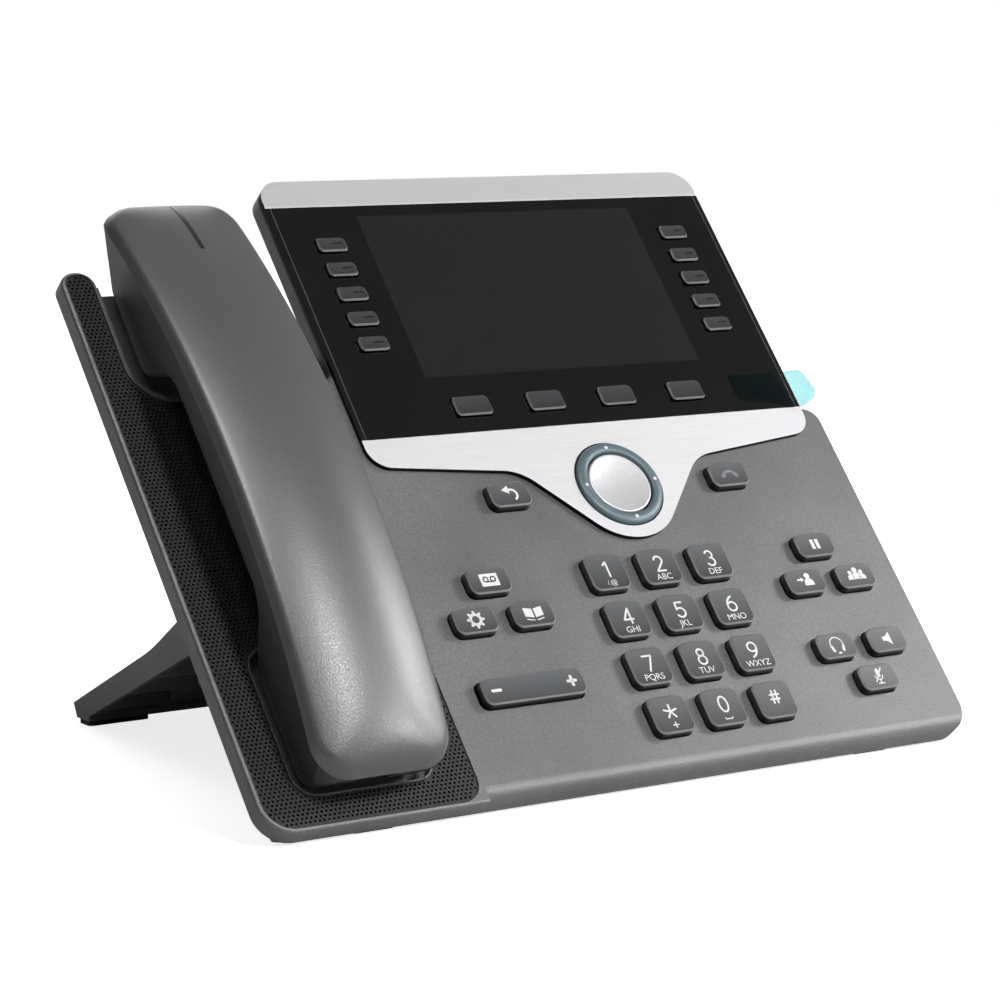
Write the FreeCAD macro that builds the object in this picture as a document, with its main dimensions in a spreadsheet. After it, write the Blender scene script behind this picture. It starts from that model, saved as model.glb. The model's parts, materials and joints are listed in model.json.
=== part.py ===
import FreeCAD, Part
import math
import os
import re
from collections import namedtuple

import Sketcher

# A desk telephone on a tilted face. Most pieces are drawn on that face: X runs across
# it from the middle of the body, Y up it from the bottom edge and Z out of the keypad.
# The foot stand and the rubber feet are drawn upright, Y going back and Z going up.

SIZES = {
    # Stance on the desk
    "face_tilt": 49.2,
    "origin_setback": 90.9,
    "base_foot_rise": 0.8,
    # Front housing
    "cradle_zone": 78.5,
    "display_width": 171.0,
    "keypad_shoulder": 7.5,
    "body_width": "=cradle_zone + display_width + keypad_shoulder",
    "slab_depth": 6.0,
    "face_wall": 2.2,
    "side_wall": 3.5,
    "keypad_top": 125.7,
    "bottom_corner": 10.0,
    "keypad_corner": 6.0,
    "edge_soft": 1.2,
    "keypad_roll": 5.5,
    "display_axis": "=(cradle_zone - keypad_shoulder) / 2",
    "display_top": 226.0,
    "display_corner": 8.0,
    "neck_top": 150.0,
    # Handset cradle on the left
    "cradle_inset": 36.5,
    "cradle_axis": "=cradle_inset - body_width / 2",
    "horn_top": 195.0,
    "horn_round": 5.4,
    "tray_top": 188.5,
    "tray_wall": 2.6,
    "ear_recess_width": 50.0,
    "ear_recess_bottom": 147.0,
    "ear_recess_corner": 12.0,
    "ear_recess_depth": 4.6,
    "mouth_recess_width": 46.0,
    "mouth_recess_height": 48.2,
    "mouth_recess_bottom": 10.8,
    "mouth_recess_corner": 7.0,
    "mouth_recess_depth": 4.6,
    "mouth_rim": 0.8,
    # Perforated grille panel
    "grille_rim": 1.6,
    "grille_margin": 7.2,
    "grille_right": "=cradle_zone - grille_margin - body_width / 2",
    "grille_panel": 1.2,
    "grille_sink": 0.3,
    "grille_gap": 0.25,
    "grille_corner": 8.6,
    "grille_inner_corner": 7.0,
    "speaker_height": 103.0,
    "speaker_opening": 34.0,
    "speaker_width": 40.0,
    "speaker_depth": 10.0,
    "hole_width": 1.7,
    "hole_pitch": 4.2,
    # Display stack
    "bezel_depth": 1.6,
    "glass_depth": 1.2,
    "glass_rim": 1.6,
    "glass_width": "=display_width - 2 * glass_rim",
    "glass_bottom": 125.3,
    "glass_height": 90.0,
    "glass_corner": 1.0,
    "glass_gap": 0.1,
    "screen_margin": 31.9,
    "screen_width": "=display_width - 2 * screen_margin",
    "screen_height": 64.3,
    "screen_bottom": 146.8,
    "lcd_border": 2.4,
    "lcd_depth": 3.6,
    "lcd_gap": 0.3,
    "chin_end_height": 115.4,
    "chin_end_corner": 8.0,
    "chin_knee_offset": 34.4,
    "chin_knee_height": 109.5,
    "chin_knee_round": 16.0,
    "lobe_radius": 20.0,
    "lobe_angle": 42.0,
    # Keys
    "key_gap": 0.35,
    "key_rise": 2.1,
    "key_soft": 0.5,
    "key_corner": 2.6,
    "key_travel": 1.0,
    "flange_gap": 0.2,
    "flange_depth": 1.1,
    "flange_lip": 1.2,
    "dial_key_width": 14.0,
    "dial_key_height": 12.8,
    "dial_pitch_across": 19.94,
    "dial_pitch_up": 17.09,
    "dial_bottom_row": 18.33,
    "function_key_width": 14.6,
    "function_key_height": 8.9,
    "back_key_offset": 42.5,
    "side_keys_inset": 22.6,
    "side_keys_offset": "=display_width / 2 - side_keys_inset",
    "side_key_step": 10.35,
    "volume_width": 36.0,
    "volume_height": 9.0,
    "volume_gap": 0.8,
    "volume_pin_radius": 1.1,
    "line_key_width": 10.6,
    "line_key_height": 5.4,
    "line_key_inset": 18.0,
    "line_key_offset": "=display_width / 2 - line_key_inset",
    "line_key_first": 160.4,
    "line_key_pitch": 9.77,
    "soft_key_width": 13.4,
    "soft_key_height": 7.2,
    "soft_key_row": 134.6,
    "soft_key_pitch": 27.8,
    "glass_key_rise": 1.0,
    "small_corner": 1.6,
    # Navigation cluster
    "nav_height": 101.5,
    "nav_ring_radius": 15.3,
    "nav_ring_hole": 11.6,
    "nav_ring_rise": 1.5,
    "nav_ring_gap": 0.5,
    "nav_swing_room": 0.75,
    "nav_ring_lip": 1.4,
    "select_radius": 11.0,
    "select_rise": 0.8,
    "select_depth": 3.4,
    # Inside
    "mat_gap": 0.4,
    "board_depth": 1.6,
    "board_right_inset": 26.5,
    "board_left_inset": 76.5,
    "board_left": "=board_left_inset - body_width / 2",
    "board_right": "=body_width / 2 - board_right_inset",
    "board_bottom": 22.0,
    "board_top": 128.0,
    "board_post_radius": 3.5,
    # Rear housing
    "rear_depth": 24.0,
    "rear_wall": 2.2,
    "rear_inset": 2.5,
    "rear_side_slope": 45.0,
    "rear_top": 162.0,
    "rear_top_slope": 12.0,
    "rear_step_depth": 13.0,
    "rear_cover": 2.0,
    "hook_box_depth": 14.0,
    "port_bay_half": 62.0,
    "port_bay_bottom": 26.0,
    "port_bay_top": 70.0,
    "port_bay_floor": 12.0,
    "port_pitch": 19.5,
    "port_depth": 15.0,
    "port_drop": 12.0,
    "port_gap": 0.3,
    "wide_socket": 11.8,
    "narrow_socket": 7.8,
    "socket_height": 7.0,
    "socket_wall": 1.2,
    "inlet_radius": 3.2,
    "inlet_pin_radius": 1.0,
    # Hook switch
    "hook_height": 170.0,
    "hook_radius": 3.2,
    "hook_gap": 0.35,
    "hook_lip": 1.6,
    "hook_travel": 3.0,
    "rest_gap": 0.3,
    # Handset
    "handset_middle": 109.2,
    "handset_length": 201.8,
    "handset_width": 45.4,
    "crease_middle": 106.0,
    "crease_height": 25.0,
    "crease_radius": 345.0,
    "band_height": 4.0,
    "band_lean": 2.0,
    "crown_height": 8.6,
    "crown_soft": 6.0,
    "shell_wall": 2.2,
    "handset_corner": 9.5,
    "end_round": 13.0,
    "inner_step": 0.4,
    "inner_lean": 3.2,
    "inner_soft": 3.0,
    "grip_underside": 13.5,
    "grip_bottom": 67.0,
    "grip_top": 146.0,
    "grip_round": 13.0,
    "ear_cup_bottom": 157.0,
    "ear_cup_top": 189.0,
    "mouth_cup_bottom": 14.5,
    "mouth_cup_top": 54.0,
    "cup_round": 7.0,
    "cup_floor": 2.0,
    "receiver_height": 173.0,
    "receiver_radius": 13.0,
    "receiver_depth": 7.0,
    "microphone_height": 40.0,
    "microphone_radius": 5.0,
    "microphone_depth": 5.0,
    "capsule_gap": 0.2,
    "sound_hole_radius": 1.0,
    "sound_ring_radius": 6.5,
    "jack_width": 11.0,
    "jack_bottom": 0.8,
    "jack_top": 8.8,
    "jack_back": 24.0,
    "jack_setback": 3.0,
    "jack_gap": 0.2,
    "notch_height": 1.3,
    "notch_depth": 3.0,
    "light_width": 1.5,
    "light_depth": 3.2,
    "light_start": 184.0,
    "light_gap": 0.1,
    # Foot stand, measured from the bottom front edge of the rear housing
    "stand_inset": 31.0,
    "stand_half": "=body_width / 2 - stand_inset",
    "stand_height": 92.0,
    "stand_barrel": 8.0,
    "stand_clearance": 1.0,
    "stand_knee": 126.0,
    "stand_knee_height": 31.9,
    "stand_knee_round": 100.0,
    "stand_reach": 182.7,
    "stand_tip_height": 5.2,
    "stand_heel": 171.0,
    "stand_heel_height": 0.7,
    "stand_lower_angle": 24.2,
    "stand_skin": 2.4,
    "stand_rib": 1.8,
    "stand_bay_front": 98.0,
    "stand_bay_back": 164.0,
    "stand_bay_width": 23.6,
    "stand_lug_inset": 27.5,
    "stand_lug_offset": "=stand_half - stand_lug_inset",
    "stand_lug_width": 8.0,
    "stand_lug_gap": 0.6,
    "stand_lug_radius": 6.5,
    "stand_pin_radius": 3.0,
    "stand_pin_gap": 0.3,
    "pad_length": 22.0,
    "pad_depth": 8.0,
    # Rubber feet under the front edge
    "base_foot_inset": 37.5,
    "base_foot_offset": "=body_width / 2 - base_foot_inset",
    "base_foot_length": 14.0,
    "base_foot_front": 2.0,
    "base_foot_depth": 8.0,
    # Pull tab of the film on the glass
    "film_depth": 0.2,
    "film_cover": 24.0,
    "film_left": "=display_axis + display_width / 2 - film_cover",
    "film_bottom": 126.2,
    "film_top": 139.6,
    "film_tuck": 4.0,
    "film_fold": "=display_axis + display_width / 2 - film_tuck",
    "film_droop": 3.0,
    "film_overhang": 6.4,
    "film_reach": "=display_axis + display_width / 2 + film_overhang",
    "film_lift": 3.4,
    "film_corner": 2.0,
}

KeyGrid = namedtuple("KeyGrid", "word rows across up pitch_across pitch_up width height corner top")

# Regular blocks of keys, their names by rows from the bottom up
DIAL_GRID = KeyGrid(
    "dial",
    [
        ["key_star", "key_0", "key_pound"],
        ["key_7", "key_8", "key_9"],
        ["key_4", "key_5", "key_6"],
        ["key_1", "key_2", "key_3"],
    ],
    "display_axis - dial_pitch_across", "dial_bottom_row", "dial_pitch_across", "dial_pitch_up",
    "dial_key_width", "dial_key_height", "key_corner", "key_rise")
LINE_GRID = KeyGrid(
    "line",
    [["line_key_left_%d" % number, "line_key_right_%d" % number] for number in range(1, 6)],
    "display_axis - line_key_offset", "line_key_first", "2 * line_key_offset", "line_key_pitch",
    "line_key_width", "line_key_height", "small_corner", "bezel_depth + glass_key_rise")
SOFT_GRID = KeyGrid(
    "soft",
    [["soft_key_%d" % number for number in range(1, 5)]],
    "display_axis - 1.5 * soft_key_pitch", "soft_key_row", "soft_key_pitch", "soft_key_height",
    "soft_key_width", "soft_key_height", "small_corner", "bezel_depth + glass_key_rise")

# Distance from the keypad axis and height up the face of each function key
FUNCTION_KEYS = {
    "key_back": ("-back_key_offset", 100.8),
    "key_release": ("back_key_offset", 100.8),
    "key_messages": ("-side_keys_offset", 71.2),
    "key_settings": ("-(side_keys_offset + side_key_step)", 58.2),
    "key_contacts": ("-(side_keys_offset - side_key_step)", 58.2),
    "key_hold": ("side_keys_offset", 71.2),
    "key_transfer": ("side_keys_offset - side_key_step", 58.2),
    "key_conference": ("side_keys_offset + side_key_step", 58.2),
    "key_headset": ("side_keys_offset - side_key_step", 33.9),
    "key_speaker": ("side_keys_offset + side_key_step", 33.9),
    "key_mute": ("side_keys_offset", 21.1),
}

VOLUME_KEY = ("-side_keys_offset", 33.9)

doc = FreeCAD.newDocument("desk_telephone")
sheet = doc.addObject("Spreadsheet::Sheet", "sizes")
pieces = []


def fill_sheet():
    """Put each size in the sheet, as a number or as a formula of other sizes."""
    for row, (alias, number) in enumerate(SIZES.items(), start=1):
        sheet.set("A%d" % row, alias.replace("_", " "))
        sheet.set("B%d" % row, str(number))
        sheet.setAlias("B%d" % row, alias)
    doc.recompute()


def sized(text):
    """Point every size named in a formula at its cell in the sheet."""
    return re.sub(r"[a-z_]+", lambda word: cell(word.group()), str(text))


def cell(word):
    return "sizes." + word if word in SIZES else word


def value(text):
    return float(sheet.evalExpression(sized(text)))


def bind(thing, name, text):
    thing.setExpression(name, sized(text))


def new_piece(name, upright=False):
    """A body whose own frame is the tilted face, or the desk for an upright one."""
    body = doc.addObject("PartDesign::Body", name)
    body.Label = name
    if upright:
        bind(body, ".Placement.Base.y", "slab_depth * sin(face_tilt) - origin_setback")
        bind(body, ".Placement.Base.z", "base_foot_rise")
    else:
        across = FreeCAD.Vector(1, 0, 0)
        turn = FreeCAD.Rotation(across, SIZES["face_tilt"])
        body.Placement = FreeCAD.Placement(FreeCAD.Vector(), turn)
        bind(body, ".Placement.Rotation.Angle", "face_tilt")
        bind(body, ".Placement.Base.y", "-origin_setback")
        bind(body, ".Placement.Base.z", "base_foot_rise + slab_depth * cos(face_tilt)")
    pieces.append(body)
    return body


def origin_part(body, role):
    return next(item for item in body.Origin.OriginFeatures if item.Role == role)


class Plan:
    """The lines and dimensions of one sketch, which are handed to it in one go."""

    def __init__(self, sketch):
        self.sketch = sketch
        self.shapes = []
        self.marks = []
        self.rules = []

    def draw(self, shape):
        self.shapes.append(shape)
        return ("shape", len(self.shapes) - 1)

    def mark(self, across, up):
        """A construction point tied to the sheet."""
        spot = FreeCAD.Vector(value(across), value(up), 0)
        self.marks.append(Part.Point(spot))
        place = ("mark", len(self.marks) - 1)
        self.pin(place, 1, across, up)
        return place

    def pin(self, place, end, across, up):
        self.rule(across, "DistanceX", -1, 1, place, end)
        self.rule(up, "DistanceY", -1, 1, place, end)

    def rule(self, text, *parts):
        """A constraint, and the formula of its size if it has one."""
        self.rules.append((text, parts))

    def number(self, part):
        """Geometry number of a shape or of a mark, since the marks come after the shapes."""
        if not isinstance(part, tuple):
            return part
        kind, index = part
        return index if kind == "shape" else len(self.shapes) + index

    def finish(self):
        self.sketch.addGeometry(self.shapes, False)
        if self.marks:
            self.sketch.addGeometry(self.marks, True)
        constraints = []
        for text, parts in self.rules:
            size = () if text is None else (value(text),)
            numbers = [self.number(part) for part in parts]
            constraints.append(Sketcher.Constraint(*numbers, *size))
        self.sketch.addConstraint(constraints)
        for index, (text, _) in enumerate(self.rules):
            if text is not None:
                bind(self.sketch, "Constraints[%d]" % index, text)
        return self.sketch


def new_sketch(body, name, plane="XY", offset="0", rise="0"):
    """A sketch on an origin plane, moved along its normal and up its own vertical."""
    sketch = body.newObject("Sketcher::SketchObject", name)
    sketch.AttachmentSupport = [(origin_part(body, plane + "_Plane"), "")]
    sketch.MapMode = "FlatFace"
    bind(sketch, ".AttachmentOffset.Base.z", offset)
    bind(sketch, ".AttachmentOffset.Base.y", rise)
    return Plan(sketch)


def corner_ends(before, here, after, radius):
    """Tangent points of a rounded corner, with the middle of its arc between them."""
    back = (before - here).normalize()
    ahead = (after - here).normalize()
    half = back.getAngle(ahead) / 2
    reach = radius / math.tan(half)
    centre = here + (back + ahead).normalize() * (radius / math.sin(half))
    middle = centre + (here - centre).normalize() * radius
    return here + back * reach, middle, here + ahead * reach


def arc_end(first, middle, last, wanted):
    """Number of an arc's end, which a sketch counts anticlockwise."""
    anticlockwise = (middle - first).cross(last - middle).z > 0
    return 1 if (wanted == "first") == anticlockwise else 2


def outline(plan, corners):
    """A closed outline.

    Each corner is (across, up) or (across, up, radius). An entry that starts with the
    word via is a point on the arc which joins the corners before and after it.
    """
    stops = []
    bulges = {}
    for corner in corners:
        if corner[0] == "via":
            bulges[len(stops) - 1] = corner[1:]
        else:
            stops.append(corner)
    count = len(stops)
    spots = [FreeCAD.Vector(value(stop[0]), value(stop[1]), 0) for stop in stops]
    marks = [plan.mark(stop[0], stop[1]) for stop in stops]
    rounds = {}
    for index, stop in enumerate(stops):
        if len(stop) == 3:
            ends = corner_ends(spots[index - 1], spots[index], spots[(index + 1) % count], value(stop[2]))
            arc = plan.draw(Part.Arc(*ends))
            plan.rule(stop[2], "Radius", arc)
            rounds[index] = (arc, ends)
    for index in range(count):
        following = (index + 1) % count
        start = rounds[index][1][2] if index in rounds else spots[index]
        stop = rounds[following][1][0] if following in rounds else spots[following]
        first, last = 1, 2
        if index in bulges:
            bulge = FreeCAD.Vector(*[value(text) for text in bulges[index]])
            side = plan.draw(Part.Arc(start, bulge, stop))
            plan.rule(None, "PointOnObject", plan.mark(*bulges[index]), 1, side)
            first = arc_end(start, bulge, stop, "first")
            last = 3 - first
        else:
            side = plan.draw(Part.LineSegment(start, stop))
        join(plan, side, first, marks[index], rounds.get(index), "last")
        join(plan, side, last, marks[following], rounds.get(following), "first")


def join(plan, side, end, mark, corner, wanted):
    """Hold one end of a side to its corner point, or tangent to the corner's arc."""
    if corner is None:
        plan.rule(None, "Coincident", side, end, mark, 1)
        return
    arc, ends = corner
    plan.rule(None, "PointOnObject", mark, 1, side)
    plan.rule(None, "Tangent", side, end, arc, arc_end(*ends, wanted))


def rectangle(plan, middle, up, width, height, radius=None):
    """A rectangle about a middle point, with rounded corners if a radius is named."""
    corners = []
    for across_sign, up_sign in (("-", "-"), ("+", "-"), ("+", "+"), ("-", "+")):
        across_text = "%s %s (%s) / 2" % (middle, across_sign, width)
        up_text = "%s %s (%s) / 2" % (up, up_sign, height)
        corners.append((across_text, up_text) + ((radius,) if radius else ()))
    outline(plan, corners)


def circle(plan, across, up, radius):
    centre = FreeCAD.Vector(value(across), value(up), 0)
    ring = plan.draw(Part.Circle(centre, FreeCAD.Vector(0, 0, 1), value(radius)))
    plan.pin(ring, 3, across, up)
    plan.rule(radius, "Radius", ring)


def add(body, kind, name, plan, length=None, flip=False, both=False):
    """A pad or pocket of a sketch. With no length it goes through everything."""
    feature = body.newObject("PartDesign::" + kind, name)
    feature.Profile = plan.finish()
    feature.Reversed = flip
    feature.Refine = kind == "Pad"
    if both:
        feature.SideType = "Symmetric"
    if length is None:
        feature.Type = "ThroughAll"
    else:
        bind(feature, "Length", length)
    doc.recompute()
    return feature


def turn(body, kind, name, plan, angle, both=True, flip=False):
    """A revolution or groove about the sketch's own horizontal axis."""
    sketch = plan.finish()
    feature = body.newObject("PartDesign::" + kind, name)
    feature.Profile = sketch
    feature.ReferenceAxis = (sketch, ["H_Axis"])
    feature.Midplane = both
    feature.Reversed = flip
    bind(feature, "Angle", angle)
    doc.recompute()
    return feature


def soften(body, name, base, wanted, size, kind="Fillet"):
    """Round or bevel those edges of a feature that a test picks out."""
    edges = ["Edge%d" % number for number, edge in enumerate(base.Shape.Edges, start=1) if wanted(edge)]
    feature = body.newObject("PartDesign::" + kind, name)
    feature.Base = (base, edges)
    bind(feature, "Radius" if kind == "Fillet" else "Size", size)
    doc.recompute()
    return feature


def lies_at(edge, height):
    box = edge.BoundBox
    return abs(box.ZMin - height) < 1e-4 and abs(box.ZMax - height) < 1e-4


# Keys

KEY_BASE = "-(face_wall + flange_gap + flange_depth)"
NAV_FLANGE_TOP = "-(face_wall + nav_swing_room)"
GLASS_TOP = "bezel_depth"


def make_key(name, across, up, width, height, corner, top):
    """A cap that rises through its opening, held under the face by a flange."""
    body = new_piece(name)
    foot = new_sketch(body, "foot", offset=KEY_BASE)
    rectangle(foot, across, up, width + " + 2 * flange_lip", height + " + 2 * flange_lip")
    add(body, "Pad", "flange", foot, "flange_depth")
    stem = new_sketch(body, "stem", offset=KEY_BASE)
    rectangle(stem, across, up, width, height, corner)
    cap = add(body, "Pad", "cap", stem, "%s - (%s)" % (top, KEY_BASE))
    level = value(top)
    soften(body, "soft_top", cap, lambda edge: lies_at(edge, level), "key_soft", "Chamfer")


def from_axis(offset):
    return "display_axis + (%s)" % offset


def grid_places(grid):
    """Name and middle of each key of a block."""
    for row, names in enumerate(grid.rows):
        for column, name in enumerate(names):
            across = "%s + %s * %d" % (grid.across, grid.pitch_across, column)
            yield name, across, "%s + %s * %d" % (grid.up, grid.pitch_up, row)


def make_keys():
    for grid in (DIAL_GRID, LINE_GRID, SOFT_GRID):
        for name, across, up in grid_places(grid):
            make_key(name, across, up, grid.width, grid.height, grid.corner, grid.top)
    for name, (offset, up) in FUNCTION_KEYS.items():
        make_key(name, from_axis(offset), str(up), "function_key_width", "function_key_height",
                 "key_corner", "key_rise")


def key_opening(body, name, level, middle, width, height, corner):
    """An opening that clears one key all round."""
    shape = new_sketch(body, name + "_shape", offset=level)
    across, up = middle
    rectangle(shape, across, up, width + " + 2 * key_gap", height + " + 2 * key_gap", corner + " + key_gap")
    return add(body, "Pocket", name, shape, "slab_depth")


# What a pattern holds for each step that keeps the even spacing
EVEN_SPACING = -1.0


def grid_openings(body, grid, level):
    """One opening repeated across and up a block of keys."""
    first = key_opening(body, grid.word + "_opening", level, (grid.across, grid.up),
                        grid.width, grid.height, grid.corner)
    pattern = body.newObject("PartDesign::LinearPattern", grid.word + "_openings")
    pattern.Originals = [first]
    pattern.Direction = (origin_part(body, "X_Axis"), [""])
    pattern.Mode = "Spacing"
    pattern.Occurrences = len(grid.rows[0])
    bind(pattern, "Offset", grid.pitch_across)
    pattern.Direction2 = (origin_part(body, "Y_Axis"), [""])
    pattern.Mode2 = "Spacing"
    pattern.Occurrences2 = len(grid.rows)
    pattern.Spacings2 = [EVEN_SPACING] * (len(grid.rows) - 1)
    bind(pattern, "Offset2", grid.pitch_up)
    body.Tip = pattern
    doc.recompute()


def volume_opening(sketch):
    across = from_axis(VOLUME_KEY[0])
    width = "volume_width + 2 * volume_gap"
    height = "volume_height + 2 * key_gap"
    rectangle(sketch, across, str(VOLUME_KEY[1]), width, height, "key_corner + key_gap")


def make_volume_key():
    """A long rocker on a pin that lies under the face."""
    body = new_piece("volume_rocker")
    across = from_axis(VOLUME_KEY[0])
    up = str(VOLUME_KEY[1])
    stem = new_sketch(body, "stem", offset="-(face_wall + flange_gap + volume_pin_radius / 2)")
    rectangle(stem, across, up, "volume_width", "volume_height", "key_corner")
    cap = add(body, "Pad", "cap", stem, "key_rise + face_wall + flange_gap + volume_pin_radius / 2")
    level = value("key_rise")
    soften(body, "soft_top", cap, lambda edge: lies_at(edge, level), "key_soft", "Chamfer")
    pivot = new_sketch(body, "pivot", "XZ", offset="-(%s)" % up)
    circle(pivot, across, "-(face_wall + flange_gap + volume_pin_radius)", "volume_pin_radius")
    add(body, "Pad", "pin", pivot, "volume_height + 2 * flange_lip", both=True)


def make_navigation():
    ring = new_piece("navigation_ring")
    flange = new_sketch(ring, "flange_outline", offset="%s - flange_depth" % NAV_FLANGE_TOP)
    circle(flange, "display_axis", "nav_height", "nav_ring_radius + nav_ring_lip")
    circle(flange, "display_axis", "nav_height", "nav_ring_hole")
    add(ring, "Pad", "flange", flange, "flange_depth")
    band = new_sketch(ring, "band_outline", offset="%s - flange_depth" % NAV_FLANGE_TOP)
    circle(band, "display_axis", "nav_height", "nav_ring_radius")
    circle(band, "display_axis", "nav_height", "nav_ring_hole")
    top = GLASS_TOP + " + nav_ring_rise"
    body = add(ring, "Pad", "band", band, "%s + flange_depth - (%s)" % (top, NAV_FLANGE_TOP))
    level = value(top)
    soften(ring, "soft_top", body, lambda edge: lies_at(edge, level), "key_soft", "Chamfer")
    button = new_piece("select_button")
    disc = new_sketch(button, "disc", offset="-select_depth")
    circle(disc, "display_axis", "nav_height", "select_radius")
    top = GLASS_TOP + " + select_rise"
    cap = add(button, "Pad", "cap", disc, top + " + select_depth")
    level = value(top)
    soften(button, "soft_top", cap, lambda edge: lies_at(edge, level), "key_soft", "Chamfer")


# Front housing and what sits in its face

BODY_LEFT = "-body_width / 2"
BODY_RIGHT = "body_width / 2"
DISPLAY_LEFT = "display_axis - display_width / 2"
DISPLAY_RIGHT = "display_axis + display_width / 2"
EAR_LEFT = "cradle_axis - ear_recess_width / 2"
EAR_RIGHT = "cradle_axis + ear_recess_width / 2"
MOUTH_MIDDLE = "mouth_recess_bottom + mouth_recess_height / 2"


def housing_outline(sketch):
    outline(sketch, [
        (BODY_LEFT, "0", "bottom_corner"),
        (BODY_RIGHT, "0", "bottom_corner"),
        (BODY_RIGHT, "keypad_top", "keypad_corner"),
        (DISPLAY_RIGHT, "keypad_top", "edge_soft"),
        (DISPLAY_RIGHT, "display_top", "display_corner"),
        (DISPLAY_LEFT, "display_top", "display_corner"),
        (DISPLAY_LEFT, "neck_top", "tray_wall"),
        (EAR_RIGHT + " + tray_wall", "neck_top", "tray_wall"),
        (EAR_RIGHT + " + tray_wall", "tray_top"),
        (EAR_LEFT, "tray_top"),
        (EAR_LEFT, "horn_top", "horn_round"),
        (BODY_LEFT, "horn_top", "horn_round"),
    ])


def grille_outline(sketch, grow):
    """The cradle's face inside its rim, less the collars round the two recesses."""
    collar = "grille_rim - (%s)" % grow
    left = BODY_LEFT + " + " + collar
    ear_left = EAR_LEFT + " - (%s)" % collar
    ear_bottom = "ear_recess_bottom - (%s)" % collar
    right = "grille_right + %s" % grow
    outline(sketch, [
        (left, collar, "grille_corner"),
        (right, collar, "grille_inner_corner"),
        (right, ear_bottom),
        (ear_left, ear_bottom, "ear_recess_corner + " + collar),
        (ear_left, "horn_top - (%s)" % collar, "horn_round - grille_rim"),
        (left, "horn_top - (%s)" % collar, "horn_round - grille_rim"),
    ])
    lip = "mouth_rim - (%s)" % grow
    width = "mouth_recess_width + 2 * (%s)" % lip
    height = "mouth_recess_height + 2 * (%s)" % lip
    rectangle(sketch, "cradle_axis", MOUTH_MIDDLE, width, height, "mouth_recess_corner + " + lip)


def lcd_outline(sketch, gap):
    border = "2 * lcd_border + 2 * (%s)" % gap
    middle = "screen_bottom + screen_height / 2"
    rectangle(sketch, "display_axis", middle, "screen_width + " + border, "screen_height + " + border)


def make_front_housing():
    body = new_piece("front_housing")
    shape = new_sketch(body, "shape", offset="-slab_depth")
    housing_outline(shape)
    slab = add(body, "Pad", "slab", shape, "slab_depth")
    soften(body, "soft_edge", slab, is_outer_rim, "edge_soft")
    roll = new_sketch(body, "keypad_roll_shape", "YZ", offset="grille_right + grille_rim")
    outline(roll, [
        ("0", "-keypad_roll"),
        ("via", "keypad_roll * (1 - cos(45))", "-keypad_roll * (1 - cos(45))"),
        ("keypad_roll", "0"),
        ("keypad_roll", "keypad_roll"),
        ("-keypad_roll", "keypad_roll"),
        ("-keypad_roll", "-keypad_roll"),
    ])
    add(body, "Pocket", "keypad_roll_off", roll, "body_width", flip=True)
    ear = new_sketch(body, "ear_recess_shape")
    outline(ear, [
        (EAR_LEFT, "ear_recess_bottom", "ear_recess_corner"),
        (EAR_RIGHT, "ear_recess_bottom", "ear_recess_corner"),
        (EAR_RIGHT, "horn_top + horn_round"),
        (EAR_LEFT, "horn_top + horn_round"),
    ])
    add(body, "Pocket", "ear_recess", ear, "ear_recess_depth")
    mouth = new_sketch(body, "mouth_recess_shape")
    rectangle(mouth, "cradle_axis", MOUTH_MIDDLE, "mouth_recess_width", "mouth_recess_height",
              "mouth_recess_corner")
    add(body, "Pocket", "mouth_recess", mouth, "mouth_recess_depth")
    seat = new_sketch(body, "grille_seat_shape")
    grille_outline(seat, "grille_gap")
    add(body, "Pocket", "grille_seat", seat, "grille_panel + grille_sink")
    hollow = new_sketch(body, "hollow_shape", offset="-slab_depth")
    outline(hollow, [
        ("grille_right + side_wall", "side_wall"),
        (BODY_RIGHT + " - side_wall", "side_wall"),
        (BODY_RIGHT + " - side_wall", "keypad_top - side_wall"),
        (DISPLAY_RIGHT + " - side_wall", "keypad_top - side_wall"),
        (DISPLAY_RIGHT + " - side_wall", "display_top - side_wall"),
        (DISPLAY_LEFT + " + side_wall", "display_top - side_wall"),
        (DISPLAY_LEFT + " + side_wall", "keypad_top - side_wall"),
        ("grille_right + side_wall", "keypad_top - side_wall"),
    ])
    add(body, "Pocket", "hollow", hollow, "slab_depth - face_wall", flip=True)
    for name, (offset, up) in FUNCTION_KEYS.items():
        key_opening(body, name + "_opening", "0", (from_axis(offset), str(up)), "function_key_width",
                    "function_key_height", "key_corner")
    rocker = new_sketch(body, "volume_opening_shape")
    volume_opening(rocker)
    add(body, "Pocket", "volume_opening", rocker, "slab_depth")
    window = new_sketch(body, "window_shape")
    circle(window, "display_axis", "nav_height", "nav_ring_radius + nav_ring_gap")
    lcd_outline(window, "lcd_gap")
    add(body, "Pocket", "windows", window, "slab_depth")
    speaker = new_sketch(body, "speaker_opening_shape")
    circle(speaker, "cradle_axis", "speaker_height", "speaker_opening / 2")
    add(body, "Pocket", "speaker_opening", speaker, "slab_depth")
    speaker_seat = new_sketch(body, "speaker_seat_shape", offset="-slab_depth")
    circle(speaker_seat, "cradle_axis", "speaker_height", "speaker_width / 2 + capsule_gap")
    add(body, "Pocket", "speaker_seat", speaker_seat, "slab_depth - face_wall - grille_panel", flip=True)
    plunger = new_sketch(body, "plunger_hole_shape")
    circle(plunger, "cradle_axis", "hook_height", "hook_radius + hook_gap")
    add(body, "Pocket", "plunger_hole", plunger, "slab_depth")
    grid_openings(body, DIAL_GRID, "0")
    grid_openings(body, LINE_GRID, "0")
    grid_openings(body, SOFT_GRID, "0")


def is_outer_rim(edge):
    """The face's rim, less the short sides of the tray under the handset's ear cup."""
    box = edge.BoundBox
    tray = box.YMin > value("tray_top") - 1e-3 and box.XMin > value(EAR_LEFT) - 1e-3
    return lies_at(edge, 0) and not (tray and box.XMax < value(DISPLAY_LEFT) - 1e-3)


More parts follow.
